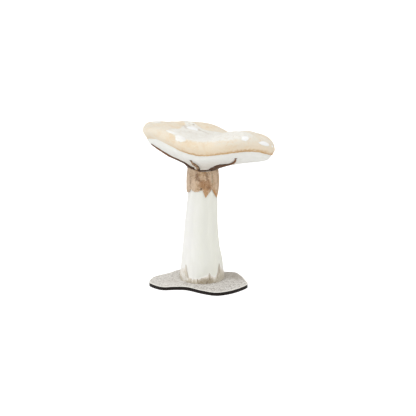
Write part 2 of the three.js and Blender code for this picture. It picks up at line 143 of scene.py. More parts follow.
class CapSizes(bpy.types.PropertyGroup):
    """Felts of the cap"""

    length: size("Length", "Length of the cap", extent("cap_top_felt").x / MM)
    depth: size("Depth", "Depth of the cap", extent("cap_top_felt").y / MM)
    felt: size("Felt", "Thickness of the felts", 2)
    seam_rise: size("Seam rise", "Height of the seam over the seat", 28)
    lean_right: angle("Lean right", "How much the cap leans down to the right", 7.5)
    lean_back: angle("Lean back", "How much the cap leans down to the back", 4.5)
    edge_out: size("Edge out", "How far the edge stands out over the seam", 3.6)
    edge_out_right: size("Edge out, right", "What the right side has more", -1.4)
    edge_height: size("Edge height", "Height of the outermost edge over the seam", 5.5)
    edge_height_right: size("Edge height, right", "What the right side has more", -2.5)
    shoulder_rise: size("Shoulder rise", "Height of the shoulder over the seam", 17.5)
    shoulder_rise_right: size("Shoulder rise, right", "What the right side has more", 1.5)
    shoulder_width: size("Shoulder width", "Width of the rounded shoulder", 18)
    shoulder_fullness: amount("Shoulder fullness", "How square the shoulder is, from 0 to 1", 0.3)
    crown_dish: size("Crown dish", "How deep the crown is dished", 5)
    lip_drop: size("Lip drop", "How deep the lip hangs under the seam", 9)
    lip_drop_right: size("Lip drop, right", "What the right side has more", -0.3)
    lip_inset: size("Lip inset", "How far the lip lies inside the seam", 8)
    throat_width: size("Throat width", "Width of the throat round the seat", 3.8)
    throat_rise: size("Throat rise", "Height of the throat over the seat", 4)
    throat_rise_right: size("Throat rise, right", "What the right side has more", -3)
    sag: size("Sag", "How far the underside hangs down on the left", 1.5)
    seat_radius: size("Seat radius", "Radius of the seat's edge", 18.7)
    seat_lift: size("Seat lift", "How far the seat's edge is drawn up on the left", 2.6)
    unevenness: size("Unevenness", "Height of the felt's lumps", 0.55)


class TrimSizes(bpy.types.PropertyGroup):
    """Star, strand, pale wool and spots on the cap"""

    star: size("Star", "Thickness of the star's felt", 1.9)
    strand_radius: size("Strand radius", "Radius of the strand along the seam", 0.7)
    pale_wool: size("Pale wool", "Thickness of the wool on the crown", 0.8)
    spot: size("Spot", "Thickness of the spots", 1.1)


class Fibres(bpy.types.PropertyGroup):
    """Loose fibres that stand off the wool"""

    radius: size("Radius", "Radius of a fibre", 0.035)
    length: size("Length", "Mean length of a fibre", 3.2)
    on_cap: whole("On the cap", "Fibres on the cap", 1500)
    on_collar: whole("On the collar", "Fibres on the collar", 700)
    on_foot: whole("On the foot", "Fibres at the foot", 450)
    on_base: whole("On the base", "Fibres on the base's felt", 500)


class Colours(bpy.types.PropertyGroup):
    """Colours of the finishes"""

    board: colour("Board", "Black board and pad", 26, 18, 14)
    base_felt: colour("Base felt", "Felt on the board", 237, 234, 229)
    base_shade: colour("Base felt, darker", "Darker fibres of that felt", 164, 154, 143)
    # Paler fibres of the base felt, painted light on its left and a painted highlight on its cut
    # edge
    base_pale_and_lit: colour("Base felt, edge", "Cut edge of that felt", 252, 249, 240)
    # Also painted shade on the cap's underside, near the stem and to the right
    foot_pale_and_shade: colour("Foot wool, paler", "Tongues of the foot's wool", 221, 214, 201)
    foot_wool: colour("Foot wool", "Wool round the foot", 188, 179, 160)
    # Also painted shadow: the stem's cast shadow on the base felt and contact shadow at the foot
    foot_dark_and_shadow: colour("Foot wool, darker", "Dark strands of that wool", 144, 127, 100)
    stem: colour("Stem", "Felt of the stem", 241, 240, 237)
    # Painted shade on the stem's right side, and thin places of that felt; the screw's marks use it
    # too
    stem_thin_and_shade: colour("Stem, darker", "Thin places of that felt", 237, 237, 225)
    # Painted shade in the stem's middle, and its greyer streaks
    stem_grey_and_shade: colour("Stem, greyer", "The stem's duller middle", 213, 214, 212)
    collar: colour("Collar", "Middle tone of the collar", 190, 158, 122)
    collar_dark: colour("Collar, darker", "Dark fibres of the collar", 120, 84, 60)
    collar_rust: colour("Collar, rust", "Its warmer middle", 162, 116, 74)
    collar_grey: colour("Collar, grey", "Its greyish strands", 170, 156, 130)
    collar_light: colour("Collar, lighter", "Light fibres of the collar", 228, 203, 175)
    collar_tip: colour("Collar, tip", "Orange tips of the points", 192, 140, 88)
    tan: colour("Tan", "Felt of the cap's top", 248, 234, 210)
    tan_pale: colour("Tan, paler", "Its paler side", 246, 239, 223)
    # Deeper patches of the tan, and the band above the seam: partly colour, partly painted shade
    tan_deep_and_shade: colour("Tan, deeper", "Its deeper patches", 241, 217, 181)
    ochre: colour("Ochre", "Strand of the seam", 214, 170, 108)
    cream: colour("Cream", "Felt of the underside", 250, 250, 245)
    cream_shade: colour("Cream, darker", "Thin places of that felt", 243, 244, 235)
    star: colour("Star", "Middle tone of the star", 134, 90, 58)
    # Also painted contact shadow along the front of the foot's bottom edge
    star_dark_and_shadow: colour("Star, darker", "Its dark middle", 68, 42, 26)
    pale_wool: colour("Pale wool", "Wool on the crown", 252, 249, 240)
    pale_shade: colour("Pale wool, darker", "Its grey streaks", 240, 235, 222)
    # Painted shadow round the middle spot, and brown wisps and a streak in the crown's wool
    brown_wool_and_shadow: colour("Pale wool, brown", "Brown wool round the middle spot", 188, 166, 146)
    spot: colour("Spot", "White spots", 255, 255, 254)
    foam: colour("Foam", "Cores of the cap and the stem", 240, 238, 230)
    dowel: colour("Dowel", "Wood of the post", 207, 168, 120)
    steel: colour("Steel", "Screw", 185, 188, 192)
    floor: colour("Floor", "Studio floor", 246, 246, 246)


class Studio(bpy.types.PropertyGroup):
    """Camera and lamps"""

    distance: size("Distance", "Camera distance", 2890)
    elevation: angle("Elevation", "Camera height over the horizon", 16.5)
    lens: amount("Lens", "Focal length in millimetres", 200)
    key: amount("Key", "Strength of the key lamp overhead", 12)
    side: amount("Side", "Strength of the low lamp on the left", 7.5)
    fill: amount("Fill", "Strength of the fill lamp", 4.6)
    sky: amount("Sky", "Strength of the light from all round", 0.85)


# Outline of the base felt as shares of its half length and half depth
BASE_OUTLINE = (
    (-1, -0.17), (-0.93, 0.24), (-0.63, 0.59), (-0.39, 0.89), (-0.18, 1), (0.17, 0.87),
    (0.53, 0.71), (0.77, 0.63), (0.85, 0.45), (0.96, 0), (1, -0.32), (0.81, -0.67), (0.59, -0.9),
    (0.36, -1), (0.08, -0.84), (-0.24, -0.55), (-0.47, -0.52), (-0.72, -0.55), (-0.9, -0.38),
)

# Outline of the stem: share of its height, share of the flare of its foot, and place of its
# middle as a share of the bow, to the left where it is less than 0
STEM_OUTLINE = (
    (0, 1, 0), (0.055, 0.98, -0.05), (0.107, 0.94, -0.1), (0.145, 0.88, -0.1), (0.214, 0.735, -0.3),
    (0.29, 0.58, -0.7), (0.359, 0.471, -0.8), (0.428, 0.39, -0.77), (0.503, 0.32, -0.5),
    (0.572, 0.26, -0.24), (0.648, 0.19, 0), (0.717, 0.135, 0.25), (0.828, 0.06, 0.5), (1, 0, 0.6),
)

# Waves of the cap's seam: direction, rise in millimetres and spread
RIM_WAVES = (
    (65, -1.3, 9), (70, -6.5, 34), (84, 3.6, 20), (108, 1.4, 24), (160, 1.8, 26), (216, 4, 30),
    (256, -4, 26), (308, 9.5, 42),
)

# Waves of the seam alone, where its felts are drawn up or down, in the same way
SEAM_WAVES = ((210, 1, 20), (268, -1, 26), (302, -2.8, 38))

# Hem of the collar: direction and depth in millimetres under its straight part
COLLAR_HEM = (
    (200, 7.1), (213, 5.3), (221, 1.2), (229, 3), (241, 3.8), (251, 3.4), (260, 1.6), (270, 1.2),
    (274.5, 5.8), (281, 11), (291, 6.5), (306, 0.6), (317, 6.8), (334, 13.4), (350, 8), (5, 2),
    (22, 9.7), (40, 1.7), (62, 8.7), (80, 1.7), (103, 10.2), (122, 1.7), (146, 7.7), (166, 1.2),
    (184, 8.2),
)

# Upper edge of the foot's wool: direction and height in millimetres over the base
FOOT_EDGE = (
    (190, 13), (203, 16), (213, 20), (220.5, 24), (226, 17), (231, 9), (238, 8.5), (245, 6),
    (252, 7.5), (259, 6.5), (272, 9), (282, 11), (290, 14), (296, 10), (308, 8.5), (317, 15),
    (326.5, 24), (336, 18), (350, 12), (10, 8), (30, 18), (52, 7), (75, 15), (100, 6), (125, 17),
    (150, 8), (172, 15),
)

# Arms of the star: each goes from the hub out to its tip and back, by directions from the
# stem's axis and reaches as shares of half the cap's length
HUB = 0.247
STAR_ARMS = (
    ((348, HUB), (2, 0.36), (8, 0.61), (14, 0.88), (19, 0.61), (27, 0.38), (48, HUB)),
    ((48, HUB), (66, 0.39), (72, 0.61), (80, 0.38), (112, HUB)),
    ((112, HUB), (127, 0.42), (134, 0.66), (142, 0.39), (172, HUB)),
    (
        (172, HUB), (187, 0.42), (193, 0.59), (196, 0.79), (200.5, 0.64), (206, 0.47), (214, 0.36),
        (226, 0.29), (243, HUB),
    ),
    (
        (252, HUB), (250, 0.32), (249.5, 0.4), (253, 0.55), (254, 0.614), (256, 0.51), (260, 0.38),
        (262, 0.29), (264.5, HUB),
    ),
    (
        (295, HUB), (302, 0.36), (309, 0.43), (317, 0.43), (325, 0.45), (326.5, 0.53), (320, 0.64),
        (317, 0.693), (321.5, 0.66), (331, 0.56), (335, 0.44), (339, 0.33), (348, HUB),
    ),
)

# Outline of the crown's wool: direction and share of the way to the outermost oval
WOOL_OUTLINE = (
    (0, 0.6), (28, 0.6), (48, 0.64), (60, 0.67), (69, 0.6), (76, 0.485), (83, 0.37), (90, 0.33),
    (98, 0.35), (104, 0.43), (108, 0.56), (109.5, 0.764), (113, 0.93), (118, 0.95), (122, 0.73),
    (128, 0.64), (149, 0.524), (185, 0.5), (205, 0.56), (219, 0.68), (222.5, 0.8), (224, 0.868),
    (226.5, 0.9), (230, 0.895), (234, 0.92), (237, 0.95), (240, 0.982), (245, 0.96), (250, 0.938),
    (255, 0.935), (261, 0.95), (268, 0.96), (275, 0.968), (282, 0.971), (290, 0.98), (298, 0.985),
    (306, 0.985), (313, 0.97), (316.5, 0.93), (317.5, 0.86), (319, 0.78), (325, 0.7), (335, 0.66),
)

# Strokes of other browns in the collar, each from one (direction, height over the floor) to
# another, with its radius in millimetres, tone and strength
COLLAR_STROKES = (
    ((206, 141), (207, 123), 3.4, "collar_light", 0.55),
    ((236, 136), (236, 126), 4.6, "collar_light", 0.6),
    ((305, 144), (306, 135), 2.3, "collar_grey", 0.75),
    ((265, 142), (265, 139), 2.6, "collar_light", 0.45),
    ((219, 140), (220, 132), 1.5, "collar_dark", 0.55),
    ((247, 146), (249, 139.5), 4.2, "collar_dark", 0.8),
    ((230, 150), (238, 147), 4, "collar_light", 0.6),
    ((278, 149), (278, 146), 2.4, "collar_rust", 0.8),
    ((284, 146), (287, 135.5), 2.4, "collar_dark", 0.65),
    ((257, 137), (270, 135.5), 2.3, "collar_dark", 0.75),
    ((272, 132.5), (286, 129), 7.4, "collar_rust", 0.95),
    ((290, 135), (293, 130), 4.2, "collar_rust", 0.65),
    ((281, 124), (279, 116), 4.2, "collar_tip", 0.6),
    ((288, 128.6), (298, 126.3), 2.1, "collar_dark", 0.5),
    ((315, 138.5), (316, 131.5), 1.9, "collar_rust", 0.65),
    ((318, 147), (325, 126), 4.4, "collar_light", 0.7),
    ((300, 144), (300, 138), 3, "collar_light", 0.5),
    ((315, 121.5), (326, 114), 4, "collar_tip", 1),
    ((264.5, 126.8), (264.5, 125.8), 1.9, "star_dark_and_shadow", 1),
)

# Strokes in the foot's wool, laid down in the same way; the lowest two are painted contact shadow
FOOT_STROKES = (
    ((220.5, 26.5), (230.5, 12), 1.7, "foot_dark_and_shadow", 0.5),
    ((240, 10.5), (240, 6.5), 0.9, "foot_dark_and_shadow", 0.5),
    ((248, 11), (249, 7), 0.9, "foot_dark_and_shadow", 0.55),
    ((257, 13), (260, 6.5), 1.1, "foot_dark_and_shadow", 0.8),
    ((272, 9.5), (293, 9), 5.4, "foot_dark_and_shadow", 0.6),
    ((290, 18), (291, 11), 2.2, "foot_dark_and_shadow", 0.55),
    ((283, 8), (283, 5), 1.2, "star_dark_and_shadow", 0.5),
    ((325, 27), (313, 11), 1.8, "foot_dark_and_shadow", 0.6),
    # These two along the bottom edge are painted contact shadow where the foot meets the base
    ((262, 5.6), (306, 5), 1.4, "star_dark_and_shadow", 0.35),
    ((306, 5), (337, 5.2), 1.3, "foot_dark_and_shadow", 0.8),
    ((330, 16), (345, 8), 6, "foot_wool", 0.55),
    ((203, 14), (222, 9), 5, "stem", 0.5),
    ((263, 9), (268, 7), 2.4, "foot_dark_and_shadow", 0.45),
    ((326, 29), (323, 17), 1.8, "foot_dark_and_shadow", 0.5),
)

# Strokes of other tones in the cap's tan felt: both ends as places seen from above and the
# radius in millimetres, tone and strength
CAP_STROKES = (
    ((-34, -50), (-10, -58), 9, "tan_deep_and_shade", 0.55),
    ((22, -58), (64, -42), 9, "tan_pale", 0.8),
)

# Strokes in the pale wool, laid down in the same way; rows 1, 2, 3 and 5 are painted shadow
CROWN_STROKES = (
    ((-14, 31.6), (-10.5, 31.8), 1.9, "brown_wool_and_shadow", 0.85),
    ((-17, -1), (-5, -6), 2.6, "brown_wool_and_shadow", 0.55),
    ((-15, -11), (-7, -13.5), 2.2, "brown_wool_and_shadow", 0.3),
    ((-5, 19), (8.5, 2), 2.2, "brown_wool_and_shadow", 0.5),
    ((-22, 27), (-19, 12), 3, "brown_wool_and_shadow", 0.35),
    ((-33, -36), (-24, -18), 6, "pale_wool", 0.8),
    ((-30, -44), (-22, -42), 3, "pale_wool", 0.6),
)

# White spots: CAD node, direction, share of the way from the crown to the seam, length along
# the rim and width across it in millimetres, and turn in degrees
SPOTS = (
    ("spot_back_left", 161, 0.72, 14, 11, 0),
    ("spot_crown", 130, 0.325, 13.5, 18, 0),
    ("spot_front_left", 243, 0.77, 15.5, 10.5, 0),
    ("spot_streak", 232, 0.752, 16, 5.2, 12),
    ("spot_right", 304, 0.795, 11, 6.4, 0),
    ("spot_right_edge", 328.5, 0.865, 24, 5.8, 0),
    ("spot_rim", 345, 0.88, 3, 3, 0),
)

# How finely the pieces are made: lines side by side, and steps along each line
CURVE_STEPS = 12
BASE_LINES, BASE_STEPS = 240, 22
STEM_LINES, STEM_STEPS = 96, 60
BAND_LINES, COLLAR_STEPS, FOOT_STEPS = 300, 36, 30
CAP_LINES, OVER_STEPS, UNDER_STEPS = 192, 64, 52
HUB_LINES, HUB_STEPS, ARM_LINES, ARM_STEPS = 96, 4, 8, 48
STRAND_LINES, STRAND_STEPS, STRAND_SIDES = 360, 60, 10
WOOL_LINES, WOOL_STEPS = 300, 40
SPOT_LINES, SPOT_STEPS, SPOT_PLACES = 48, 12, 100
FIBRE_STEPS = 4

# Distances from which rays are sent to find a felt, and the depth under the seat of the point
# that the rays for the crown's wool aim at
FAR_OFF = 300 * MM
AROUND_CAP = 200 * MM
CEILING = 100 * MM
BESIDE_STEM = 100 * MM
OVER_BASE = 50 * MM
OVER_SPOT = 12 * MM
BELOW_SEAT = 10 * MM

# Where the seat's edge is drawn up, where the underside sags and where the star's hub is narrow:
# direction and spread in degrees
SEAT_LIFT_AT = (205, 55)
SAG_AT = (200, 70)
NARROW_HUB_AT = (270, 50)

# Bends of the base felt's rounded edge and of the cap's shoulder, in degrees from level
EDGE_BENDS = (30, 60, 90, 120, 150)
SHOULDER_BENDS = (90, 60, 30, 0)

# Points of the cap's lip: share of its inset and share of its drop
LIP_POINTS = ((0.2, 0.4), (0.5, 0.75), (1, 1))


# Shapes

def mix(first, second, part):
    return first + (second - first) * part


def shares(count):
    """Even steps from 0 to 1"""
    return [step / count for step in range(count + 1)]


def turns(count):
    """Angles spread evenly round a circle"""
    return [math.tau * number / count for number in range(count)]


def polar(turn, radius, height=0):
    return Vector((radius * math.cos(turn), radius * math.sin(turn), height))


def nearness(turn, towards, spread):
    """1 in a direction itself, and 0 from the spread on, all in degrees but the turn"""
    off = abs((math.degrees(turn) - towards + 180) % 360 - 180)
    return max(0, 1 - off / spread)


def swell(turn, towards, spread):
    """Nearness that rises and ends softly"""
    return (1 - math.cos(math.pi * nearness(turn, towards, spread))) / 2


def facing(normal, way):
    """A normal, turned over if it points along a way"""
    return -normal if normal.dot(way) > 0 else normal


def smooth_line(points, steps, closed=False):
    """Evenly spaced points on a centripetal curve through points"""
    if closed:
        around = [points[-1], *points, points[0], points[1]]
    else:
        around = [points[0] * 2 - points[1], *points, points[-1] * 2 - points[-2]]
    line = []
    for before, start, end, after in zip(around, around[1:], around[2:], around[3:]):
        runs = start - before, end - start, after - end
        first, middle, last = (max(run.length ** 0.5, 1e-9) for run in runs)
        leave = runs[0] / first - (end - before) / (first + middle) + runs[1] / middle
        arrive = runs[1] / middle - (after - start) / (middle + last) + runs[2] / last
        leave, arrive = leave * middle, arrive * middle
        bend = 3 * (end - start) - 2 * leave - arrive
        turn = 2 * (start - end) + leave + arrive
        for t in shares(CURVE_STEPS)[:-1]:
            line.append(start + leave * t + bend * t ** 2 + turn * t ** 3)
    line.append(around[-2].copy())
    return spaced(line, steps)


def spaced(line, steps):
    """The same line with steps of one length"""
    reached = [0]
    for start, end in zip(line, line[1:]):
        reached.append(reached[-1] + (end - start).length)
    points = []
    at = 0
    for step in range(steps + 1):
        goal = reached[-1] * step / steps
        while at < len(line) - 2 and reached[at + 1] < goal:
            at += 1
        run = max(reached[at + 1] - reached[at], 1e-12)
        points.append(line[at].lerp(line[at + 1], (goal - reached[at]) / run))
    return points


def new_skin():
    skin = bmesh.new()
    skin.loops.layers.uv.new("UVMap")
    return skin


def lay(skin, lines, closed, inside=None):
    """Adds a grid laid through lines of equal length, with its UVs across and along them. Lines
    that go round close up, and ends that meet in one point become a pole. Faces turn away from
    a point inside."""
    across, along = len(lines) - (0 if closed else 1), len(lines[0]) - 1
    settings = {"x_segments": across, "y_segments": along, "size": 0.5, "calc_uvs": True}
    verts = bmesh.ops.create_grid(skin, **settings)["verts"]
    faces = list({face for vert in verts for face in vert.link_faces})
    for vert in verts:
        column = round((vert.co.x + 0.5) * across) % len(lines)
        vert.co = lines[column][round((vert.co.y + 0.5) * along)]
    skin.normal_update()
    if inside:
        away = [
            face.calc_area() * (face.calc_center_median() - inside).dot(face.normal)
            for face in faces
        ]
        if sum(away) < 0:
            bmesh.ops.reverse_faces(skin, faces=faces)
    bmesh.ops.remove_doubles(skin, verts=verts, dist=1e-7)
    skin.normal_update()


def skin_through(lines, inside=None):
    """A new skin of one grid that goes round"""
    skin = new_skin()
    lay(skin, lines, True, inside)
    return skin


def roughen(skin, height, scale, seed=0):
    """Moves a skin's points in and out by soft noise, with lumps of one scale in metres"""
    skin.normal_update()
    shift = Vector((seed, 0, 0))
    moves = [vert.normal * height * noise.noise(vert.co / scale + shift) for vert in skin.verts]
    for vert, move in zip(skin.verts, moves):
        vert.co += move


def ridges(ahead, count, height, length):
    """Noise in upright ridges round the stem, in a direction and at a height"""
    return noise.noise(Vector((ahead.x * count, ahead.y * count, height / length)))


def piece(skin, name, node, finish, thickness=0, smoother=0):
    """A shaded object from a skin, put in place of its CAD node, which it hides. It has felt's
    thickness inwards from the skin, and its open edges stay crisp."""
    for edge in skin.edges:
        edge.smooth = not edge.is_boundary
    mesh = bpy.data.meshes.new(name)
    skin.to_mesh(mesh)
    skin.free()
    for face in mesh.polygons:
        face.use_smooth = True
    made = placed(name, mesh)
    if thickness:
        wall = made.modifiers.new("Thickness", "SOLIDIFY")
        wall.thickness = thickness
        wall.offset = -1
    if smoother:
        smooth = made.modifiers.new("Smooth", "SUBSURF")
        smooth.levels = smoother
        smooth.render_levels = smoother
    mesh.materials.append(finish)
    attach(made, "root")
    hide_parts(node)
    return made


def placed(name, data):
    """A new object in the scene"""
    made = bpy.data.objects.new(name, data)
    bpy.context.scene.collection.objects.link(made)
    return made


# Finishes

class Value:
    """A socket whose arithmetic adds Math nodes"""

    def __init__(self, nodes, socket):
        self.nodes = nodes
        self.socket = socket

    def math(self, operation, *values):
        return self.nodes.add("ShaderNodeMath", {"operation": operation}, dict(enumerate(values)))

    def __add__(self, other):
        return self.math("ADD", self, other)

    def __sub__(self, other):
        return self.math("SUBTRACT", self, other)

    def __rsub__(self, other):
        return self.math("SUBTRACT", other, self)

    def __mul__(self, other):
        return self.math("MULTIPLY", self, other)

    __radd__ = __add__
    __rmul__ = __mul__

    def larger(self, other):
        return self.math("MAXIMUM", self, other)

    def smaller(self, other):
        return self.math("MINIMUM", self, other)

    def step(self, start, end):
        """A soft step from 0 at start to 1 at end"""
        settings = {"interpolation_type": "SMOOTHSTEP"}
        return self.nodes.add("ShaderNodeMapRange", settings, {0: self, 1: start, 2: end})


class Nodes:
    """The shader nodes of a material or a world"""

    def __init__(self, owner):
        owner.use_nodes = True
        self.tree = owner.node_tree

    def feed(self, socket, given):
        """Links a value to a socket, or sets a constant on it"""
        if isinstance(given, Value):
            self.tree.links.new(given.socket, socket)
        else:
            socket.default_value = given

    def add(self, kind, settings, sockets, output=0):
        """A node's output, from its settings and the values or links of its sockets"""
        node = self.tree.nodes.new(kind)
        for name, setting in settings.items():
            setattr(node, name, setting)
        for name, given in sockets.items():
            self.feed(node.inputs[name], given)
        return Value(self, node.outputs[output])

    def ray(self, kind):
        """1 where the surface is met by one kind of ray, such as Camera"""
        return self.add("ShaderNodeLightPath", {}, {}, f"Is {kind} Ray")

    def light(self, kind, brightness, strength):
        """Emission or Background light of a grey"""
        sockets = {"Color": (brightness, brightness, brightness, 1), "Strength": strength}
        return self.add(f"ShaderNode{kind}", {}, sockets)

    def show(self, output, given):
        """Gives a tree's output node a shader"""
        self.feed(self.tree.nodes[output].inputs["Surface"], given)


class Finish(Nodes):
    """A procedural material, and its tone so far, which starts as one of the colours"""

    def __init__(self, name, tone, roughness=0.95, sheen=0.25, metallic=0.0):
        self.material = bpy.data.materials.new(name)
        super().__init__(self.material)
        self.shader = self.tree.nodes["Principled BSDF"]
        constants = {
            "Roughness": roughness,
            "Metallic": metallic,
            "Sheen Weight": sheen,
            "Sheen Roughness": 0.6,
            "Specular IOR Level": 0.5 if metallic else 0.2,
        }
        for socket, constant in constants.items():
            self.feed(self.shader.inputs[socket], constant)
        self.place = self.add("ShaderNodeTexCoord", {}, {}, "Object")
        self.tone = self.colour(tone)

    def colour(self, name):
        return (*getattr(bpy.context.scene.ornament_colours, name), 1.0)

    def tint(self, part, tone):
        """Lays a colour's name or a value over the tone so far: all of it where part is 1"""
        over = self.colour(tone) if isinstance(tone, str) else tone
        sockets = {0: part, 6: self.tone, 7: over}
        self.tone = self.add("ShaderNodeMix", {"data_type": "RGBA"}, sockets, 2)

    def sheet(self, axis):
        """Place on the piece's own UV map: 0 for round the piece, and 1 for along it"""
        place = self.add("ShaderNodeUVMap", {"uv_map": "UVMap"}, {})
        return self.add("ShaderNodeSeparateXYZ", {}, {0: place}, axis)

    def noise(self, scale, detail, distortion, place):
        sockets = {"Vector": place, "Scale": scale, "Detail": detail}
        sockets |= {"Roughness": 0.6, "Distortion": distortion}
        return self.add("ShaderNodeTexNoise", {}, sockets)

    def speckle(self, size, detail=3.0, distortion=0.0):
        """Noise from 0 to 1 with features of one size in millimetres"""
        return self.noise(1 / (size * MM), detail, distortion, self.place)

    def drawn(self, size, scale, detail, distortion, turn=(0, 0, 0)):
        """Speckle turned and drawn out by a scale on each axis"""
        sockets = {"Vector": self.place, "Rotation": turn, "Scale": scale}
        place = self.add("ShaderNodeMapping", {}, sockets)
        return self.noise(1 / (size * MM), detail, distortion, place)

    def running(self, across, along, distortion):
        """Noise in strands that run along a sheet, with so many features across and along it"""
        sockets = {0: self.sheet(0) * across, 1: self.sheet(1) * along}
        place = self.add("ShaderNodeCombineXYZ", {}, sockets)
        return self.noise(1.0, 3.0, distortion, place)

    def strands(self, length, width, turn, distortion=1.2):
        """Noise drawn out into strands that all lie one way"""
        return self.drawn(width, (width / length, 1, 1), 2.0, distortion, turn)

    def matted(self, length, width):
        """Strands that cross each other in all directions, as the fibres of felt do"""
        ways = ((0.4, 0.2, 0.1), (1.3, 0.8, 2.0), (2.3, 2.0, 0.9), (0.9, 2.6, 1.6))
        most, *layers = [self.strands(length, width, turn) for turn in ways]
        for layer in layers:
            most = most.larger(layer)
        return most.step(0.5, 0.78)

    def vector(self, operation, sockets, output=0):
        settings = {"operation": operation}
        return self.add("ShaderNodeVectorMath", settings, dict(enumerate(sockets)), output)

    def sideways(self, start, end):
        """0 at one place from left to right in millimetres and 1 at another"""
        return self.add("ShaderNodeSeparateXYZ", {}, {0: self.place}).step(start * MM, end * MM)

    def outwards(self, start, end):
        """0 at one distance in millimetres from the stem's axis and 1 at another"""
        across = self.vector("MULTIPLY", (self.place, (1, 1, 0)))
        return self.vector("LENGTH", [across], 1).step(start * MM, end * MM)

    def stroke(self, start, end, radius, ragged):
        """1 along a line between two points and 0 from a radius in millimetres on, with an edge
        as ragged as a noise"""
        run, reach = end - start, radius * MM
        off = self.vector("SUBTRACT", (self.place, start))
        part = self.vector("DOT_PRODUCT", (off, run / run.length_squared), 1).larger(0).smaller(1)
        nearest = self.vector("MULTIPLY_ADD", (part, run, start))
        away = self.vector("DISTANCE", (self.place, nearest), 1)
        return (away + (ragged - 0.5) * reach * 3).step(reach, reach * 0.3)

    def strokes(self, rows, ragged, lay_on):
        """Lays strokes of other tones, whose ends a function puts on the form"""
        for start, end, radius, name, strength in rows:
            self.tint(self.stroke(lay_on(*start), lay_on(*end), radius, ragged) * strength, name)

    def done(self, height=None, depth=0.0):
        """The material, with bumps as deep as depth in millimetres where height is 1"""
        self.feed(self.shader.inputs["Base Color"], self.tone)
        if height:
            sockets = {"Height": height, "Distance": depth * MM, "Strength": 1.0}
            self.feed(self.shader.inputs["Normal"], self.add("ShaderNodeBump", {}, sockets))
        return self.material


def board_black():
    """Matt black board and pad: faint specks and a slightly rubbed surface"""
    finish = Finish("board_black", "board", 0.8, 0.05)
    specks = finish.speckle(0.5)
    finish.tint(specks.step(0.55, 0.8), (*(part * 1.9 for part in finish.tone[:3]), 1.0))
    return finish.done(specks, 0.05)


def base_felt():
    """Grey-beige felt of mixed fibres, a painted highlight on its cut edge, painted light to the
    left and the stem's painted shadow at the back right
    """
    finish = Finish("base_felt", "base_felt")
    fibres = finish.matted(5, 0.4)
    clouds = finish.speckle(8, 3.0, 0.6)
    grains = finish.speckle(1.9, 2.0, 0.6)
    specks = finish.speckle(1, 1.0)
    shade = clouds.step(0.35, 0.7) * 0.3 + grains.step(0.46, 0.66) * 0.7
    finish.tint(shade + specks.step(0.5, 0.66) * 0.45, "base_shade")
    finish.tint(grains.step(0.5, 0.34) * 0.5 + fibres * 0.2, "base_pale_and_lit")
    # Painted light: paler towards the left
    finish.tint(finish.sideways(-10, -50) * 0.2, "base_pale_and_lit")
    # Painted shadow that the stem casts on the back right of the felt
    painted_stem_shadow = Vector((32 * MM, 10 * MM, BASE_TOP)), Vector((46 * MM, 4 * MM, BASE_TOP))
    finish.tint(finish.stroke(*painted_stem_shadow, 18, clouds) * 0.45, "foot_dark_and_shadow")
    # Painted highlight along the cut edge
    finish.tint(finish.sheet(1).step(0.755, 0.8) * 0.9, "base_pale_and_lit")
    return finish.done(fibres * 0.6 + grains * 0.8, 0.5)


def stem_white():
    """Smooth white felt in soft upright streaks, with painted shade that makes it warmer to the
    right and duller in the middle
    """
    finish = Finish("stem_white", "stem")
    fibres = finish.matted(6, 0.4)
    clouds = finish.speckle(12, 3.0, 0.4)
    streaks = finish.drawn(9, (1, 1, 0.16), 2.0, 0.4)
    # Painted shade, darker and warmer to the right, with thin places at random
    finish.tint(finish.sideways(-22, 4) * 0.85 + clouds.step(0.35, 0.75) * 0.3, "stem_thin_and_shade")
    # Painted shade in the middle of the stem
    finish.tint((finish.sideways(-22, -4) - finish.sideways(2, 18)) * 0.2, "stem_grey_and_shade")
    finish.tint(streaks.step(0.48, 0.66) * 0.12, "stem_grey_and_shade")
    finish.tint(streaks.step(0.52, 0.36) * 0.16, "cream")
    finish.tint(fibres * 0.15, "stem")
    return finish.done(fibres * 0.5 + clouds * 0.6, 0.3)


def collar_wool():
    """Brown wool with fibres that run down, patches of other browns worked into it, and painted
    light that makes it paler to the left
    """
    finish = Finish("collar_wool", "collar", 0.95, 0.1)
    strands = finish.running(80.0, 6.0, 1.2)
    tufts = finish.speckle(3.4, 3.0, 1.2)
    crossing = finish.matted(4, 0.4)
    finish.tint(tufts.step(0.38, 0.66) * 0.85, "collar_light")
    finish.tint(finish.speckle(2, 3.0, 0.8).step(0.5, 0.66) * 0.5, "collar_dark")
    finish.strokes(COLLAR_STROKES, tufts * 0.35 + strands * 0.65, outside_stem(2.2))
    finish.tint(strands.step(0.52, 0.72) * 0.48, "collar_rust")
    finish.tint(strands.step(0.46, 0.28) * 0.6, "collar_light")
    finish.tint(crossing * 0.2, "collar_light")
    # Painted light: paler towards the left
    finish.tint(finish.sideways(-6, -20) * 0.12, "stem")
    return finish.done(strands + crossing * 0.5, 0.5)


def foot_taupe():
    """Wool that is pale on its tongues and taupe lower down, with darker strands, and painted
    contact shadow along its bottom edge at the front and right
    """
    finish = Finish("foot_taupe", "stem")
    strands = finish.running(105.0, 4.0, 1.0)
    clouds = finish.speckle(4, 3.0, 0.8)
    depth = finish.sheet(1) + (clouds - 0.5) * 0.6 + (strands - 0.5) * 0.3
    finish.tint(depth.step(0.0, 0.3), "foot_pale_and_shade")
    finish.tint(depth.step(0.25, 0.8), "foot_wool")
    finish.tint(strands.step(0.5, 0.34) * 0.35, "stem")
    finish.strokes(FOOT_STROKES, clouds * 0.5 + strands * 0.5, outside_stem(0.8))
    return finish.done(strands + clouds * 0.5, 0.5)


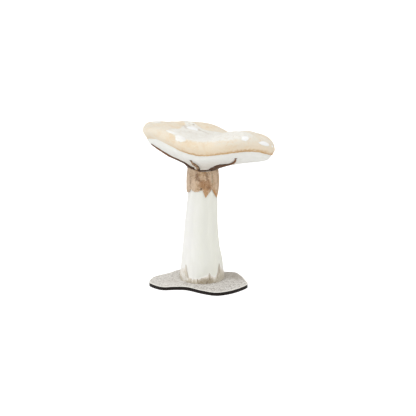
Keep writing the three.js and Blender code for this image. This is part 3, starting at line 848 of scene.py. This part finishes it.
def tan_by_place(finish):
    """Starts a finish with the cap's tan: paler to both sides, with deeper patches"""
    finish.tone = finish.colour("tan")
    clouds = finish.speckle(20, 2.0, 0.8)
    patches = finish.speckle(6, 4.0, 1.2)
    finish.tint(finish.sideways(-10, -75) * 0.85 + finish.sideways(0, 50) * 0.8, "tan_pale")
    finish.tint(clouds.step(0.45, 0.7) * 0.45 + patches.step(0.5, 0.68) * 0.6, "tan_deep_and_shade")
    finish.tint(finish.speckle(3, 3.0, 0.8).step(0.52, 0.7) * 0.4, "tan_pale")
    return finish.tone


def cap_tan():
    """Soft tan felt that turns ochre at the seam, deeper above it in colour and painted shade"""
    finish = Finish("cap_tan", "tan")
    fibres = finish.matted(7, 0.4)
    lumps = finish.speckle(4, 3.0, 0.6)
    outwards = finish.sheet(1)
    tan_by_place(finish)
    finish.strokes(CAP_STROKES, lumps, over_cap)
    right = finish.sideways(-42, -12)
    # Deeper tan above the seam: partly the felt's colour, partly painted shade where the edge turns
    # under
    finish.tint(outwards.step(0.8, 0.97) * (0.25 + right * 0.35), "tan_deep_and_shade")
    seam = (outwards + (lumps - 0.5) * 0.1).step(0.945, 1.0)
    finish.tint(seam * (0.15 + right * 0.75), "ochre")
    finish.tint(fibres * 0.25, "tan_pale")
    return finish.done(fibres * 0.6 + lumps * 0.6, 0.45)


def underside_cream():
    """Off-white felt of the underside, with painted shade near the stem and to the right"""
    finish = Finish("underside_cream", "cream")
    fibres = finish.matted(6, 0.4)
    clouds = finish.speckle(6, 3.0, 0.8)
    finish.tint(clouds.step(0.4, 0.7) * 0.7, "cream_shade")
    # Painted shade near the stem, and towards the right
    painted_hub_shade = finish.outwards(58, 26) * 0.75 + finish.outwards(32, 21) * 0.35
    finish.tint(painted_hub_shade + finish.sideways(-30, 10) * 0.13, "foot_pale_and_shade")
    finish.tint(fibres * 0.3, "stem")
    return finish.done(fibres * 0.6 + clouds * 0.6, 0.4)


def star_brown():
    """Dark brown felt, darkest at the stem and redder at the tips, worn at the front"""
    finish = Finish("star_brown", "star_dark_and_shadow", 0.95, 0.05)
    fibres = finish.matted(4, 0.35)
    clouds = finish.speckle(4, 3.0, 0.6)
    finish.tint(finish.outwards(22, 55), "star")
    finish.tint(fibres * 0.25, "collar")
    finish.tint(clouds.step(0.5, 0.75) * 0.5, "star_dark_and_shadow")
    hub = Vector((-10 * MM, -16.5 * MM, SEAT)), Vector((-6.5 * MM, -18.5 * MM, SEAT))
    finish.tint(finish.stroke(*hub, 2.6, clouds) * 0.7, "collar")
    floor = [polar(math.radians(254), reach * MM, BASE_TOP) for reach in (23, 46)]
    arm = [laid(["under"], start, UP, 0) for start in floor]
    finish.tint(finish.stroke(*arm, 4.5, clouds) * 0.75, "collar")
    return finish.done(fibres * 0.7 + clouds * 0.4, 0.3)


def strand_ochre():
    """Ochre strand, thinned to the tan of the felt here and there and on the left"""
    finish = Finish("strand_ochre", "ochre")
    twist = finish.matted(3, 0.3)
    finish.tint(finish.sideways(-12, -34), "tan_deep_and_shade")
    finish.tint(finish.speckle(4, 3.0, 0.8).step(0.48, 0.62) * 0.8, "tan_deep_and_shade")
    finish.tint(twist * 0.3, "tan")
    return finish.done(twist, 0.3)


def crown_pale():
    """Marbled pale wool with an edge that thins into the tan, strokes of paler wool, a brown streak
    and painted shadow round the middle spot"""
    finish = Finish("crown_pale", "tan")
    tan = tan_by_place(finish)
    finish.tone = finish.colour("pale_wool")
    streaks = finish.strands(14, 1.6, (0.1, 0.05, 0.35), 1.6)
    marbling = finish.speckle(7, 4.0, 1.8)
    fibres = finish.matted(7, 0.4)
    finish.tint(marbling.step(0.45, 0.66) * 0.7, "pale_shade")
    finish.tint(streaks.step(0.55, 0.75) * 0.5, "spot")
    finish.tint(finish.speckle(3, 4.0, 2.0).step(0.54, 0.72) * 0.3, "brown_wool_and_shadow")
    finish.tint(fibres * 0.2, "spot")
    finish.tint(marbling.step(0.56, 0.7) * 0.25 + finish.sideways(48, 70) * 0.25, tan)
    ragged = finish.sheet(1) + (marbling - 0.5) * 0.16 + (streaks - 0.5) * 0.1
    finish.tint(ragged.step(0.88, 0.99), tan)
    finish.strokes(CROWN_STROKES, marbling, over_cap)
    return finish.done(fibres * 0.6 + streaks * 0.6, 0.45)


def spot_white():
    """White wool, needled flat at its edge and duller on the shoulder"""
    finish = Finish("spot_white", "spot")
    fibres = finish.matted(4, 0.35)
    lumps = finish.speckle(2, 3.0, 0.8)
    finish.tint(lumps.step(0.4, 0.8) * 0.3, "pale_wool")
    finish.tint((finish.outwards(30, 50) - finish.outwards(60, 74)) * 0.35, "pale_shade")
    edge = (finish.sheet(1) + (lumps - 0.5) * 0.4).step(0.82, 1.0)
    finish.tint(edge * 0.7, "pale_shade")
    return finish.done(fibres * 0.5 + lumps * 0.7, 0.35)


def foam_white():
    """Fine closed cells of firm foam"""
    finish = Finish("foam_white", "foam", 0.9, 0.0)
    sockets = {"Vector": finish.place, "Scale": 1 / (0.6 * MM)}
    cells = finish.add("ShaderNodeTexVoronoi", {}, sockets)
    finish.tint(cells.step(0.2, 0.6) * 0.2, "pale_shade")
    return finish.done(cells, 0.1)


def dowel_wood():
    """Straight grain along the post"""
    finish = Finish("dowel_wood", "dowel", 0.6, 0.0)
    grain = finish.drawn(0.8, (1, 1, 0.04), 3.0, 0.6)
    finish.tint(grain.step(0.35, 0.7) * 0.6, "collar")
    return finish.done(grain, 0.06)


def screw_steel():
    """Plated steel with fine turning marks"""
    finish = Finish("screw_steel", "steel", 0.32, 0.0, 1.0)
    marks = finish.drawn(0.2, (0.05, 0.05, 1), 2.0, 0.0)
    finish.tint(marks.step(0.4, 0.7) * 0.25, "stem_thin_and_shade")
    return finish.done(marks, 0.02)


def dress(finish, *nodes):
    """Gives CAD nodes that stay a finish"""
    for node in nodes:
        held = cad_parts[node].data.materials
        held.clear()
        held.append(finish)


# Forms that more than one piece needs

def on_stem(turn, height, stand=0):
    """A point over the stem's felt"""
    stem = bpy.context.scene.ornament_stem
    part = min(max((height - BASE_TOP) / (SEAT - BASE_TOP), 0), 1)
    for (low_at, wide, left), (high_at, narrow, right) in zip(STEM_OUTLINE, STEM_OUTLINE[1:]):
        if part <= high_at:
            way = (part - low_at) / (high_at - low_at)
            radius = mix(stem.top_radius, stem.foot_radius, mix(wide, narrow, way))
            middle = Vector((stem.bow * mix(left, right, way), 0, 0))
            return middle + polar(turn, radius + stand, height)


def outside_stem(stand):
    """Puts a (direction, height) so many millimetres outside the stem's felt"""
    return lambda towards, height: on_stem(math.radians(towards), height * MM, stand * MM)


def over_cap(x, y):
    """The point of the cap's felt over a place"""
    return laid(["over"], Vector((x * MM, y * MM, SEAT + CEILING)), -UP, 0)


def edge_height(turn, edge):
    """Height of an edge at an angle, straight between (direction, height) pairs that go round"""
    towards = math.degrees(turn) % 360
    for (start, low_at), (end, high_at) in zip(edge, (*edge[1:], edge[0])):
        run = (end - start) % 360
        if (towards - start) % 360 < run:
            return mix(low_at, high_at, (towards - start) % 360 / run)


class CapForm:
    """Lines of the cap's felt at each angle round it"""

    def __init__(self):
        self.cap = bpy.context.scene.ornament_cap
        self.centre = Vector((CAP_MIDDLE.x, CAP_MIDDLE.y, 0))
        self.middle = self.centre + UP * (SEAT + self.cap.seam_rise)

    def sided(self, name, turn):
        """A size at an angle, of those that the right side has more or less of"""
        return getattr(self.cap, name) + getattr(self.cap, name + "_right") * math.cos(turn)

    def seat_lift(self, turn):
        """How far the seat's edge is drawn up on the left"""
        return self.cap.seat_lift * swell(turn, *SEAT_LIFT_AT)

    def oval(self, turn):
        half = self.cap.length / 2 * math.cos(turn), self.cap.depth / 2 * math.sin(turn)
        return self.centre + Vector((*half, 0))

    def lean(self, point):
        """Height of the leaning plane of the seam at a point"""
        off = point - self.centre
        down = off.x * math.tan(self.cap.lean_right) + off.y * math.tan(self.cap.lean_back)
        return SEAT + self.cap.seam_rise - down

    def waves(self, turn, rows):
        """Rise of some waves at an angle"""
        return sum(rise * MM * swell(turn, towards, spread) for towards, rise, spread in rows)

    def rim(self, turn, inwards, over):
        """A point so far inside the outermost oval and over the seam's plane and waves"""
        outer = self.oval(turn)
        point = outer.lerp(self.centre, inwards / (outer - self.centre).length)
        point.z = self.lean(point) + over + self.waves(turn, RIM_WAVES)
        return point

    def top(self, turn, steps):
        """From the crown over the shoulder and the rounded edge to the seam"""
        cap = self.cap
        height, rise = self.sided("edge_height", turn), self.sided("shoulder_rise", turn)
        crown = self.centre.copy()
        crown.z = self.lean(crown) + cap.shoulder_rise - cap.crown_dish
        roundness = 1 - cap.shoulder_fullness
        bends = []
        for bend in map(math.radians, SHOULDER_BENDS):
            inwards = cap.shoulder_width * (1 - math.cos(bend) ** roundness)
            bends.append(self.rim(turn, inwards, mix(height, rise, math.sin(bend) ** roundness)))
        inner = bends[0].lerp(crown, 0.5) - UP * cap.crown_dish * 0.2
        seam = self.rim(turn, self.sided("edge_out", turn), self.waves(turn, SEAM_WAVES))
        return smooth_line([crown, inner, *bends, seam], steps)

    def under(self, turn, steps):
        """From the seam round the lip and down the funnel to the edge of the seat"""
        cap = self.cap
        seam = self.rim(turn, self.sided("edge_out", turn), 0)
        aim = math.atan2(seam.y, seam.x)
        foot = polar(aim, cap.seat_radius, SEAT + self.seat_lift(aim))
        throat_height = SEAT + self.sided("throat_rise", turn)
        throat = polar(aim, cap.seat_radius + cap.throat_width, throat_height)
        sag = UP * cap.sag * swell(turn, *SAG_AT)
        lip = []
        for inset, fall in LIP_POINTS:
            point = seam.lerp(foot, cap.lip_inset * inset / (seam - foot).length)
            point.z = seam.z - self.sided("lip_drop", turn) * fall
            lip.append(point - sag * inset * 0.2)
        start = seam + UP * self.waves(turn, SEAM_WAVES)
        return smooth_line([start, *lip, lip[-1].lerp(throat, 0.5) - sag, throat, foot], steps)


surfaces = {}


def keep_surface(name, skin):
    """Keeps a skin for the pieces that lie on it"""
    surfaces[name] = BVHTree.FromBMesh(skin)


def laid(names, start, direction, lift):
    """A point over the first of some kept surfaces that a ray from a start meets"""
    hits = [surfaces[name].ray_cast(start, direction) for name in names]
    hits = [hit for hit in hits if hit[0] is not None]
    if not hits:
        raise ValueError(f"None of {names} lies in the way")
    point, normal, *rest = min(hits, key=lambda hit: hit[3])
    return point + facing(normal, direction) * lift


# Pieces

class ORNAMENT_OT_base(bpy.types.Operator):
    """Grey felt on the black board"""

    bl_idname = "ornament.base"
    bl_label = "Base"

    def execute(self, context):
        base = context.scene.ornament_base
        dress(board_black(), "base_board", "base_pad")
        half = Vector((base.length / 2, base.depth / 2, 0))
        flat = BASE_MIDDLE * Vector((1, 1, 0))
        points = [flat + Vector((x, y, 0)) * half for x, y in BASE_OUTLINE]
        edge = smooth_line(points, BASE_LINES, closed=True)[:-1]
        middle = sum(edge, Vector()) / len(edge)
        rounding = base.thickness / 2
        lines = []
        for point in edge:
            stray = noise.noise(point / (4 * MM)) + 0.5 * noise.noise(point / (1.2 * MM))
            outer = point - (point - middle).normalized() * (0.1 * MM - base.raggedness * stray)
            start = polar(math.atan2(outer.y, outer.x), DOWEL_RADIUS + GAP)
            inner = outer - (outer - start).normalized() * rounding
            line = [start.lerp(inner, part) + UP * BASE_TOP for part in shares(BASE_STEPS)]
            for turn in map(math.radians, EDGE_BENDS):
                out = (outer - inner) * math.sin(turn)
                line.append(inner + out + UP * (BASE_TOP - rounding * (1 - math.cos(turn))))
            line.append(inner + UP * (BASE_TOP - base.thickness))
            lines.append(line)
        skin = skin_through(lines, middle)
        for vert in skin.verts:
            if vert.co.z > BASE_TOP - rounding:
                hump = base.unevenness * noise.noise(vert.co / (9 * MM))
                vert.co.z += hump - base.unevenness / 2
        keep_surface("base", skin)
        piece(skin, "base_felt_sheet", "base_top_felt", base_felt())
        return {"FINISHED"}


class ORNAMENT_OT_inside(bpy.types.Operator):
    """Screw, dowel and foam cores inside the felts"""

    bl_idname = "ornament.inside"
    bl_label = "Inside"

    def execute(self, context):
        dress(foam_white(), "stem_core", "cap_core")
        dress(dowel_wood(), "stem_dowel")
        dress(screw_steel(), "base_screw")
        return {"FINISHED"}


class ORNAMENT_OT_stem(bpy.types.Operator):
    """White felt sleeve of the stem"""

    bl_idname = "ornament.stem"
    bl_label = "Stem"

    def execute(self, context):
        stem = context.scene.ornament_stem
        heights = [mix(STEM_TOP, BASE_TOP, part) for part in shares(STEM_STEPS)]
        lines = [[on_stem(turn, height) for height in heights] for turn in turns(STEM_LINES)]
        skin = skin_through(lines, UP * SEAT / 2)
        roughen(skin, stem.unevenness, 14 * MM)
        roughen(skin, stem.unevenness / 3, 4 * MM, 5)
        keep_surface("stem", skin)
        piece(skin, "stem_felt_sleeve", "stem_felt", stem_white(), stem.felt, 1)
        return {"FINISHED"}


class ORNAMENT_OT_collar(bpy.types.Operator):
    """Brown wool collar with a pointed hem"""

    bl_idname = "ornament.collar"
    bl_label = "Collar"

    def execute(self, context):
        stem, form = context.scene.ornament_stem, CapForm()
        top = high("collar").z
        hem = [(towards, top - stem.collar_straight - depth * MM) for towards, depth in COLLAR_HEM]
        lines = []
        for turn in turns(BAND_LINES):
            ahead = polar(turn, 1)
            start = top + form.seat_lift(turn)
            end = edge_height(turn, hem) + 0.5 * MM * noise.noise(ahead * 14)
            end += 0.4 * MM * noise.noise(ahead * 40)
            line = []
            for part in shares(COLLAR_STEPS):
                height = mix(start, end, part)
                bulge = math.sin(math.pi * (0.02 + 0.84 * part)) ** 0.8
                stand = stem.collar_thickness * 0.75 + stem.collar_swell * bulge
                stand += 0.35 * MM * ridges(ahead, 9, height, 16 * MM) - 0.5 * MM * part ** 12
                line.append(on_stem(turn, height, stand))
            lines.append(line)
        skin = skin_through(lines, UP * top)
        keep_surface("collar", skin)
        piece(skin, "collar_band", "collar", collar_wool(), 1.1 * MM)
        return {"FINISHED"}


class ORNAMENT_OT_foot_wool(bpy.types.Operator):
    """Taupe wool round the foot, with tongues that run up the stem"""

    bl_idname = "ornament.foot_wool"
    bl_label = "Foot wool"

    def execute(self, context):
        stem = context.scene.ornament_stem
        edge = [(towards, BASE_TOP + height * MM) for towards, height in FOOT_EDGE]
        lines = []
        for turn in turns(BAND_LINES):
            ahead = polar(turn, 1)
            top = edge_height(turn, edge) + 0.8 * MM * noise.noise(ahead * 16)
            line = []
            for part in shares(FOOT_STEPS):
                height = mix(top, BASE_TOP - 0.2 * MM, part)
                stand = 0.1 * MM + stem.foot_wool * part ** 0.7 - 0.5 * MM * part ** 10
                stand += 0.35 * MM * part * ridges(ahead, 12, height, 9 * MM)
                line.append(on_stem(turn, height, stand))
            lines.append(line)
        skin = skin_through(lines, UP * BASE_TOP)
        keep_surface("foot", skin)
        piece(skin, "foot_wool_band", "foot_wool", foot_taupe(), 0.5 * MM)
        return {"FINISHED"}


class ORNAMENT_OT_cap_felts(bpy.types.Operator):
    """Tan felt over the cap and off-white felt under it"""

    bl_idname = "ornament.cap_felts"
    bl_label = "Cap felts"

    def execute(self, context):
        cap, form = context.scene.ornament_cap, CapForm()
        over = skin_through([form.top(turn, OVER_STEPS) for turn in turns(CAP_LINES)], form.middle)
        hole = context.scene.ornament_stem.top_radius + GAP
        lines = [form.under(turn, UNDER_STEPS) for turn in turns(CAP_LINES)]
        for line in lines:
            line.append(polar(math.atan2(line[-1].y, line[-1].x), hole, line[-1].z))
        under = skin_through(lines, form.middle)
        for skin in (over, under):
            roughen(skin, cap.unevenness, 15 * MM, 3)
            roughen(skin, cap.unevenness / 3, 4 * MM, 8)
        keep_surface("over", over)
        keep_surface("under", under)
        piece(over, "cap_felt_top", "cap_top_felt", cap_tan(), cap.felt)
        piece(under, "cap_felt_underside", "cap_underside_felt", underside_cream(), cap.felt)
        return {"FINISHED"}


class ORNAMENT_OT_star(bpy.types.Operator):
    """Dark brown star under the cap"""

    bl_idname = "ornament.star"
    bl_label = "Star"

    def execute(self, context):
        cap, star = context.scene.ornament_cap, context.scene.ornament_trim.star
        skin, above = new_skin(), UP * (SEAT + 60 * MM)
        hub = []
        for turn in turns(HUB_LINES):
            front = min(1, 1.8 * nearness(turn, *NARROW_HUB_AT))
            out = mix(1.6, 0.1, front)
            radii = [cap.seat_radius + mix(-0.6, out, part) * MM for part in shares(HUB_STEPS)]
            lift = star * mix(0.6, 0.75, front)
            hub.append([laid(["under"], polar(turn, radius), UP, lift) for radius in radii])
        lay(skin, hub, True, above)
        for arm in STAR_ARMS:
            reaches = [(math.radians(towards), reach * cap.length / 2) for towards, reach in arm]
            points = [polar(*reach) for reach in reaches]
            tip = max(range(len(points)), key=lambda number: points[number].length)
            edges = points[: tip + 1], points[: tip - 1 : -1]
            sides = list(zip(*(smooth_line(edge, ARM_STEPS) for edge in edges)))
            lines = []
            for part in shares(ARM_LINES):
                line = []
                for (near, far), way in zip(sides, shares(ARM_STEPS)):
                    point = near.lerp(far, part)
                    point += (point - near.lerp(far, 0.5)) * 0.3 * noise.noise(point / (3 * MM))
                    point *= max(1, (cap.seat_radius - 0.6 * MM) / point.length)
                    lift = star * (1 - 0.5 * abs(2 * part - 1) ** 3) * (1 - 0.35 * way ** 5)
                    line.append(laid(["under"], point, UP, lift))
                lines.append(line)
            lay(skin, lines, False, above)
        roughen(skin, 0.25 * MM, 3 * MM, 2)
        piece(skin, "star_felt", "underside_star", star_brown(), star)
        return {"FINISHED"}


class ORNAMENT_OT_rim_strand(bpy.types.Operator):
    """Ochre strand along the seam"""

    bl_idname = "ornament.rim_strand"
    bl_label = "Rim strand"

    def execute(self, context):
        thickest, form = context.scene.ornament_trim.strand_radius, CapForm()
        section = [math.tau * part for part in shares(STRAND_SIDES)]
        lines = []
        for turn in turns(STRAND_LINES):
            over, under = form.top(turn, STRAND_STEPS), form.under(turn, STRAND_STEPS)
            along = (over[-4] - under[3]).normalized()
            onward = form.rim(turn + 0.01, 3.6 * MM, 0) - form.rim(turn - 0.01, 3.6 * MM, 0)
            outwards = onward.cross(along).normalized()
            thin = 0.75 + 0.5 * noise.noise(over[-1] / (7 * MM)) - 0.45 * max(0, -math.cos(turn))
            radius = thickest * thin
            middle = over[-1] + outwards * radius * 0.35
            middle += along * 0.3 * MM * noise.noise(over[-1] / (9 * MM) + Vector((7, 0, 0)))
            ring = [outwards * math.cos(side) + along * math.sin(side) for side in section]
            lines.append([middle + out * radius for out in ring])
        skin = skin_through(lines)
        bmesh.ops.recalc_face_normals(skin, faces=skin.faces)
        roughen(skin, 0.2 * MM, 1.6 * MM, 4)
        piece(skin, "rim_wool_strand", "rim_strand", strand_ochre())
        return {"FINISHED"}


class ORNAMENT_OT_crown_wool(bpy.types.Operator):
    """Marbled pale wool on the crown"""

    bl_idname = "ornament.crown_wool"
    bl_label = "Crown wool"

    def execute(self, context):
        thickness, form = context.scene.ornament_trim.pale_wool, CapForm()
        points = [
            form.centre.lerp(form.oval(math.radians(towards)), reach)
            for towards, reach in WOOL_OUTLINE
        ]
        deep = form.centre + UP * (SEAT - BELOW_SEAT)
        crown = laid(["over"], deep + UP, -UP, 0)
        lines = []
        for point in smooth_line(points, WOOL_LINES, closed=True)[:-1]:
            wisp = noise.noise(point / (5 * MM)) + 0.6 * noise.noise(point / (1.6 * MM))
            outer = crown.lerp(laid(["over"], point + UP, -UP, 0), 1 + 0.018 * wisp)
            line = []
            for part in shares(WOOL_STEPS):
                place = crown.lerp(outer, part)
                aim = (deep - place).normalized()
                relief = 1 + 0.5 * noise.noise(place / (6 * MM) + Vector((0, 0, 5)))
                lift = thickness * relief * (1 - part ** 5) + 0.06 * MM
                line.append(laid(["over"], deep - aim * FAR_OFF, aim, lift))
            lines.append(line)
        skin = skin_through(lines, form.centre)
        keep_surface("wool", skin)
        piece(skin, "crown_wool_sheet", "crown_wool", crown_pale(), 0.4 * MM)
        return {"FINISHED"}


class ORNAMENT_OT_spots(bpy.types.Operator):
    """White wool spots on the cap"""

    bl_idname = "ornament.spots"
    bl_label = "Spots"

    def execute(self, context):
        thickness, form = context.scene.ornament_trim.spot, CapForm()
        finish = spot_white()
        for node, towards, share_out, length, width, tilt in SPOTS:
            turn, at = math.radians(towards), round(share_out * SPOT_PLACES)
            place, beyond = form.top(turn, SPOT_PLACES)[at : at + 2]
            beside = (form.top(turn + 0.02, SPOT_PLACES)[at] - place).normalized()
            normal = facing(beside.cross(beyond - place).normalized(), -UP)
            outwards = normal.cross(beside)
            lean = math.radians(tilt)
            along = (beside * math.cos(lean) + outwards * math.sin(lean)) * length
            across = (outwards * math.cos(lean) - beside * math.sin(lean)) * width
            height = thickness * (0.6 + 0.4 * min(1, width / 9))
            lines = []
            for way in turns(SPOT_LINES):
                reach = (along * math.cos(way) + across * math.sin(way)) / 2 * MM
                wisp = Vector((math.cos(way), math.sin(way), towards))
                reach *= 1 + 0.2 * noise.noise(wisp * 1.7) + 0.12 * noise.noise(wisp * 4.3)
                line = []
                for part in shares(SPOT_STEPS):
                    point = place + reach * part
                    lump = 0.2 * MM * noise.noise(point / (2.5 * MM)) * (1 - part)
                    lift = height * (1 - part ** 3) + lump + 0.05 * MM
                    line.append(laid(["wool", "over"], point + normal * OVER_SPOT, -normal, lift))
                lines.append(line)
            skin = skin_through(lines, place - normal * 20 * MM)
            piece(skin, node + "_wool", node, finish, 0.4 * MM)
        return {"FINISHED"}


class ORNAMENT_OT_loose_fibres(bpy.types.Operator):
    """Short fibres that stand off the felts and the wool"""

    bl_idname = "ornament.loose_fibres"
    bl_label = "Loose fibres"

    def execute(self, context):
        fibres, stem = context.scene.ornament_fibres, context.scene.ornament_stem
        middle = CapForm().middle
        chance = random.Random(7)

        def towards_cap():
            way = Vector([chance.gauss(0, 1) for axis in range(3)]).normalized()
            return middle + way * AROUND_CAP, -way

        def towards_stem(low_at, high_at):
            def start():
                way = polar(chance.uniform(0, math.tau), 1)
                return way * BESIDE_STEM + UP * chance.uniform(low_at, high_at), -way
            return start

        def towards_base():
            spot = chance.uniform(-1, 1) * 62 * MM, chance.uniform(-1, 1) * 50 * MM
            return BASE_MIDDLE + Vector((*spot, 0)) + UP * OVER_BASE, -UP

        collar_top = high("collar").z
        on_collar = towards_stem(collar_top - stem.collar_straight - 8 * MM, collar_top)
        on_foot = towards_stem(BASE_TOP, BASE_TOP + 20 * MM)
        # Name, CAD node, kept surface, aim, number and tone
        groups = (
            ("cap_top", "cap_top_felt", "over", towards_cap, fibres.on_cap, "tan_pale"),
            ("cap_underside", "cap_underside_felt", "under", towards_cap, fibres.on_cap, "stem"),
            ("collar", "collar", "collar", on_collar, fibres.on_collar, "collar_light"),
            ("foot", "foot_wool", "foot", on_foot, fibres.on_foot, "base_felt"),
            ("base", "base_top_felt", "base", towards_base, fibres.on_base, "base_pale_and_lit"),
        )
        for name, node, surface, aim, many, tone in groups:
            made = self.grow(f"{name}_fibres", surfaces[surface], aim, many, tone, fibres, chance)
            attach(made, "root")
        return {"FINISHED"}

    def grow(self, name, surface, aim, many, tone, fibres, chance):
        """A curve for each fibre, which leaves the surface at a low angle and bends back to it"""
        data = bpy.data.curves.new(name, "CURVE")
        data.dimensions = "3D"
        data.bevel_depth = fibres.radius
        data.bevel_resolution = 0
        for fibre in range(many):
            start, way = aim()
            point, normal, *rest = surface.ray_cast(start, way)
            if point is None:
                continue
            normal = facing(normal, way)
            side = normal.cross(Vector([chance.gauss(0, 1) for axis in range(3)])).normalized()
            length = fibres.length * chance.uniform(0.4, 1.6)
            rise = length * chance.uniform(0.02, 0.3)
            curl = normal.cross(side) * length * chance.uniform(-0.4, 0.4)
            spline = data.splines.new("POLY")
            spline.points.add(FIBRE_STEPS)
            for spot, part in zip(spline.points, shares(FIBRE_STEPS)):
                place = point + side * length * part + curl * part ** 2
                place += normal * (rise * math.sin(math.pi * part * 0.8) - 0.1 * MM * (1 - part))
                spot.co = (*place, 1)
                spot.radius = 1 - 0.6 * part
        data.materials.append(Finish(name, tone).done())
        return placed(name, data)


class ORNAMENT_OT_cut_sizes(bpy.types.Operator):
    """Does nothing; it states no cut sizes"""

    bl_idname = "ornament.cut_sizes"
    bl_label = "Cut sizes"

    def execute(self, context):
        return {"FINISHED"}


# Half the floor's side, how far the camera sees, and where it and the lamps aim, in metres
FLOOR_REACH = 6
SIGHT = 20
TARGET = Vector((7.4 * MM, -1 * MM, 96.5 * MM))

# Width of the camera's sensor in millimetres, and strength of the floor's own glow
SENSOR_WIDTH = 36
FLOOR_GLOW = 0.45

# Lamps: name, place and width in metres
LAMPS = (
    ("Key", (-0.8, -0.9, 2.2), 1.4),
    ("Side", (-2, -0.5, 0.35), 1.2),
    ("Fill", (1.5, -1.2, 0.9), 1.6),
)


class ORNAMENT_OT_studio(bpy.types.Operator):
    """Pale floor, soft lamps and the camera"""

    bl_idname = "ornament.studio"
    bl_label = "Studio"

    def execute(self, context):
        scene, studio = context.scene, context.scene.ornament_studio
        scene.view_settings.view_transform = "Standard"
        self.floor()
        self.world(scene, studio.sky)
        for name, place, width in LAMPS:
            lamp = bpy.data.lights.new(name, "AREA")
            lamp.shape = "DISK"
            lamp.size = width
            lamp.energy = getattr(studio, name.lower())
            self.aimed(name, lamp, Vector(place))
        data = bpy.data.cameras.new("Camera")
        data.lens = studio.lens
        data.sensor_width = SENSOR_WIDTH
        data.clip_end = SIGHT
        away = Vector((0, -math.cos(studio.elevation), math.sin(studio.elevation)))
        scene.camera = self.aimed("Camera", data, TARGET + away * studio.distance)
        return {"FINISHED"}

    def aimed(self, name, data, place):
        """A lamp or a camera at a place, turned to the target"""
        made = placed(name, data)
        made.location = place
        made.rotation_euler = (TARGET - made.location).to_track_quat("-Z", "Y").to_euler()
        return made

    def floor(self):
        """A large floor that looks white where it is lit, and keeps the shadow"""
        mesh = bpy.data.meshes.new("Floor")
        plane = bmesh.new()
        bmesh.ops.create_grid(plane, x_segments=1, y_segments=1, size=FLOOR_REACH)
        plane.to_mesh(mesh)
        plane.free()
        placed("Floor", mesh)
        finish = Finish("floor_pale", "floor", 1.0, 0.0)
        finish.tint(finish.speckle(30) * 0.02, "pale_shade")
        mesh.materials.append(finish.done())
        dark, glow = finish.light("Emission", 0, 0.0), finish.light("Emission", 1, FLOOR_GLOW)
        lift = finish.add("ShaderNodeMixShader", {}, {0: finish.ray("Camera"), 1: dark, 2: glow})
        own = Value(finish, finish.shader.outputs[0])
        both = finish.add("ShaderNodeAddShader", {}, {0: own, 1: lift})
        finish.show("Material Output", both)

    def world(self, scene, strength):
        """Even light from all round, seen as white"""
        scene.world = bpy.data.worlds.new("Studio")
        nodes = Nodes(scene.world)
        background = nodes.tree.nodes["Background"]
        nodes.feed(background.inputs["Color"], (1, 1, 1, 1))
        nodes.feed(background.inputs["Strength"], strength)
        lit, white = Value(nodes, background.outputs[0]), nodes.light("Background", 1, 1)
        seen = nodes.ray("Camera").larger(nodes.ray("Glossy")).larger(nodes.ray("Transmission"))
        chosen = nodes.add("ShaderNodeMixShader", {}, {0: seen, 1: lit, 2: white})
        nodes.show("World Output", chosen)


class ORNAMENT_PT_panel(bpy.types.Panel):
    """Sizes, colours and steps of the ornament"""

    bl_idname = "ORNAMENT_PT_panel"
    bl_label = "Felt mushroom"
    bl_space_type = "VIEW_3D"
    bl_region_type = "UI"
    bl_category = "Mushroom"

    def draw(self, context):
        for operator in OPERATORS:
            self.layout.operator(operator.bl_idname)
        for name in GROUPS:
            box = self.layout.box()
            box.label(text=name)
            group = getattr(context.scene, name)
            for prop in group.__annotations__:
                box.prop(group, prop)


GROUPS = {
    "ornament_base": BaseSizes,
    "ornament_stem": StemSizes,
    "ornament_cap": CapSizes,
    "ornament_trim": TrimSizes,
    "ornament_fibres": Fibres,
    "ornament_colours": Colours,
    "ornament_studio": Studio,
}

OPERATORS = (
    ORNAMENT_OT_studio,
    ORNAMENT_OT_base,
    ORNAMENT_OT_inside,
    ORNAMENT_OT_stem,
    ORNAMENT_OT_collar,
    ORNAMENT_OT_foot_wool,
    ORNAMENT_OT_cap_felts,
    ORNAMENT_OT_star,
    ORNAMENT_OT_rim_strand,
    ORNAMENT_OT_crown_wool,
    ORNAMENT_OT_spots,
    ORNAMENT_OT_loose_fibres,
    ORNAMENT_OT_cut_sizes,
)
CLASSES = (*GROUPS.values(), *OPERATORS, ORNAMENT_PT_panel)


def register():
    for group in CLASSES:
        bpy.utils.register_class(group)
    for name, group in GROUPS.items():
        setattr(bpy.types.Scene, name, PointerProperty(type=group))


def unregister():
    for name in GROUPS:
        delattr(bpy.types.Scene, name)
    for group in reversed(CLASSES):
        bpy.utils.unregister_class(group)


def main():
    register()
    for operator in OPERATORS:
        family, name = operator.bl_idname.split(".")
        getattr(getattr(bpy.ops, family), name)()


if __name__ == "__main__":
    main()
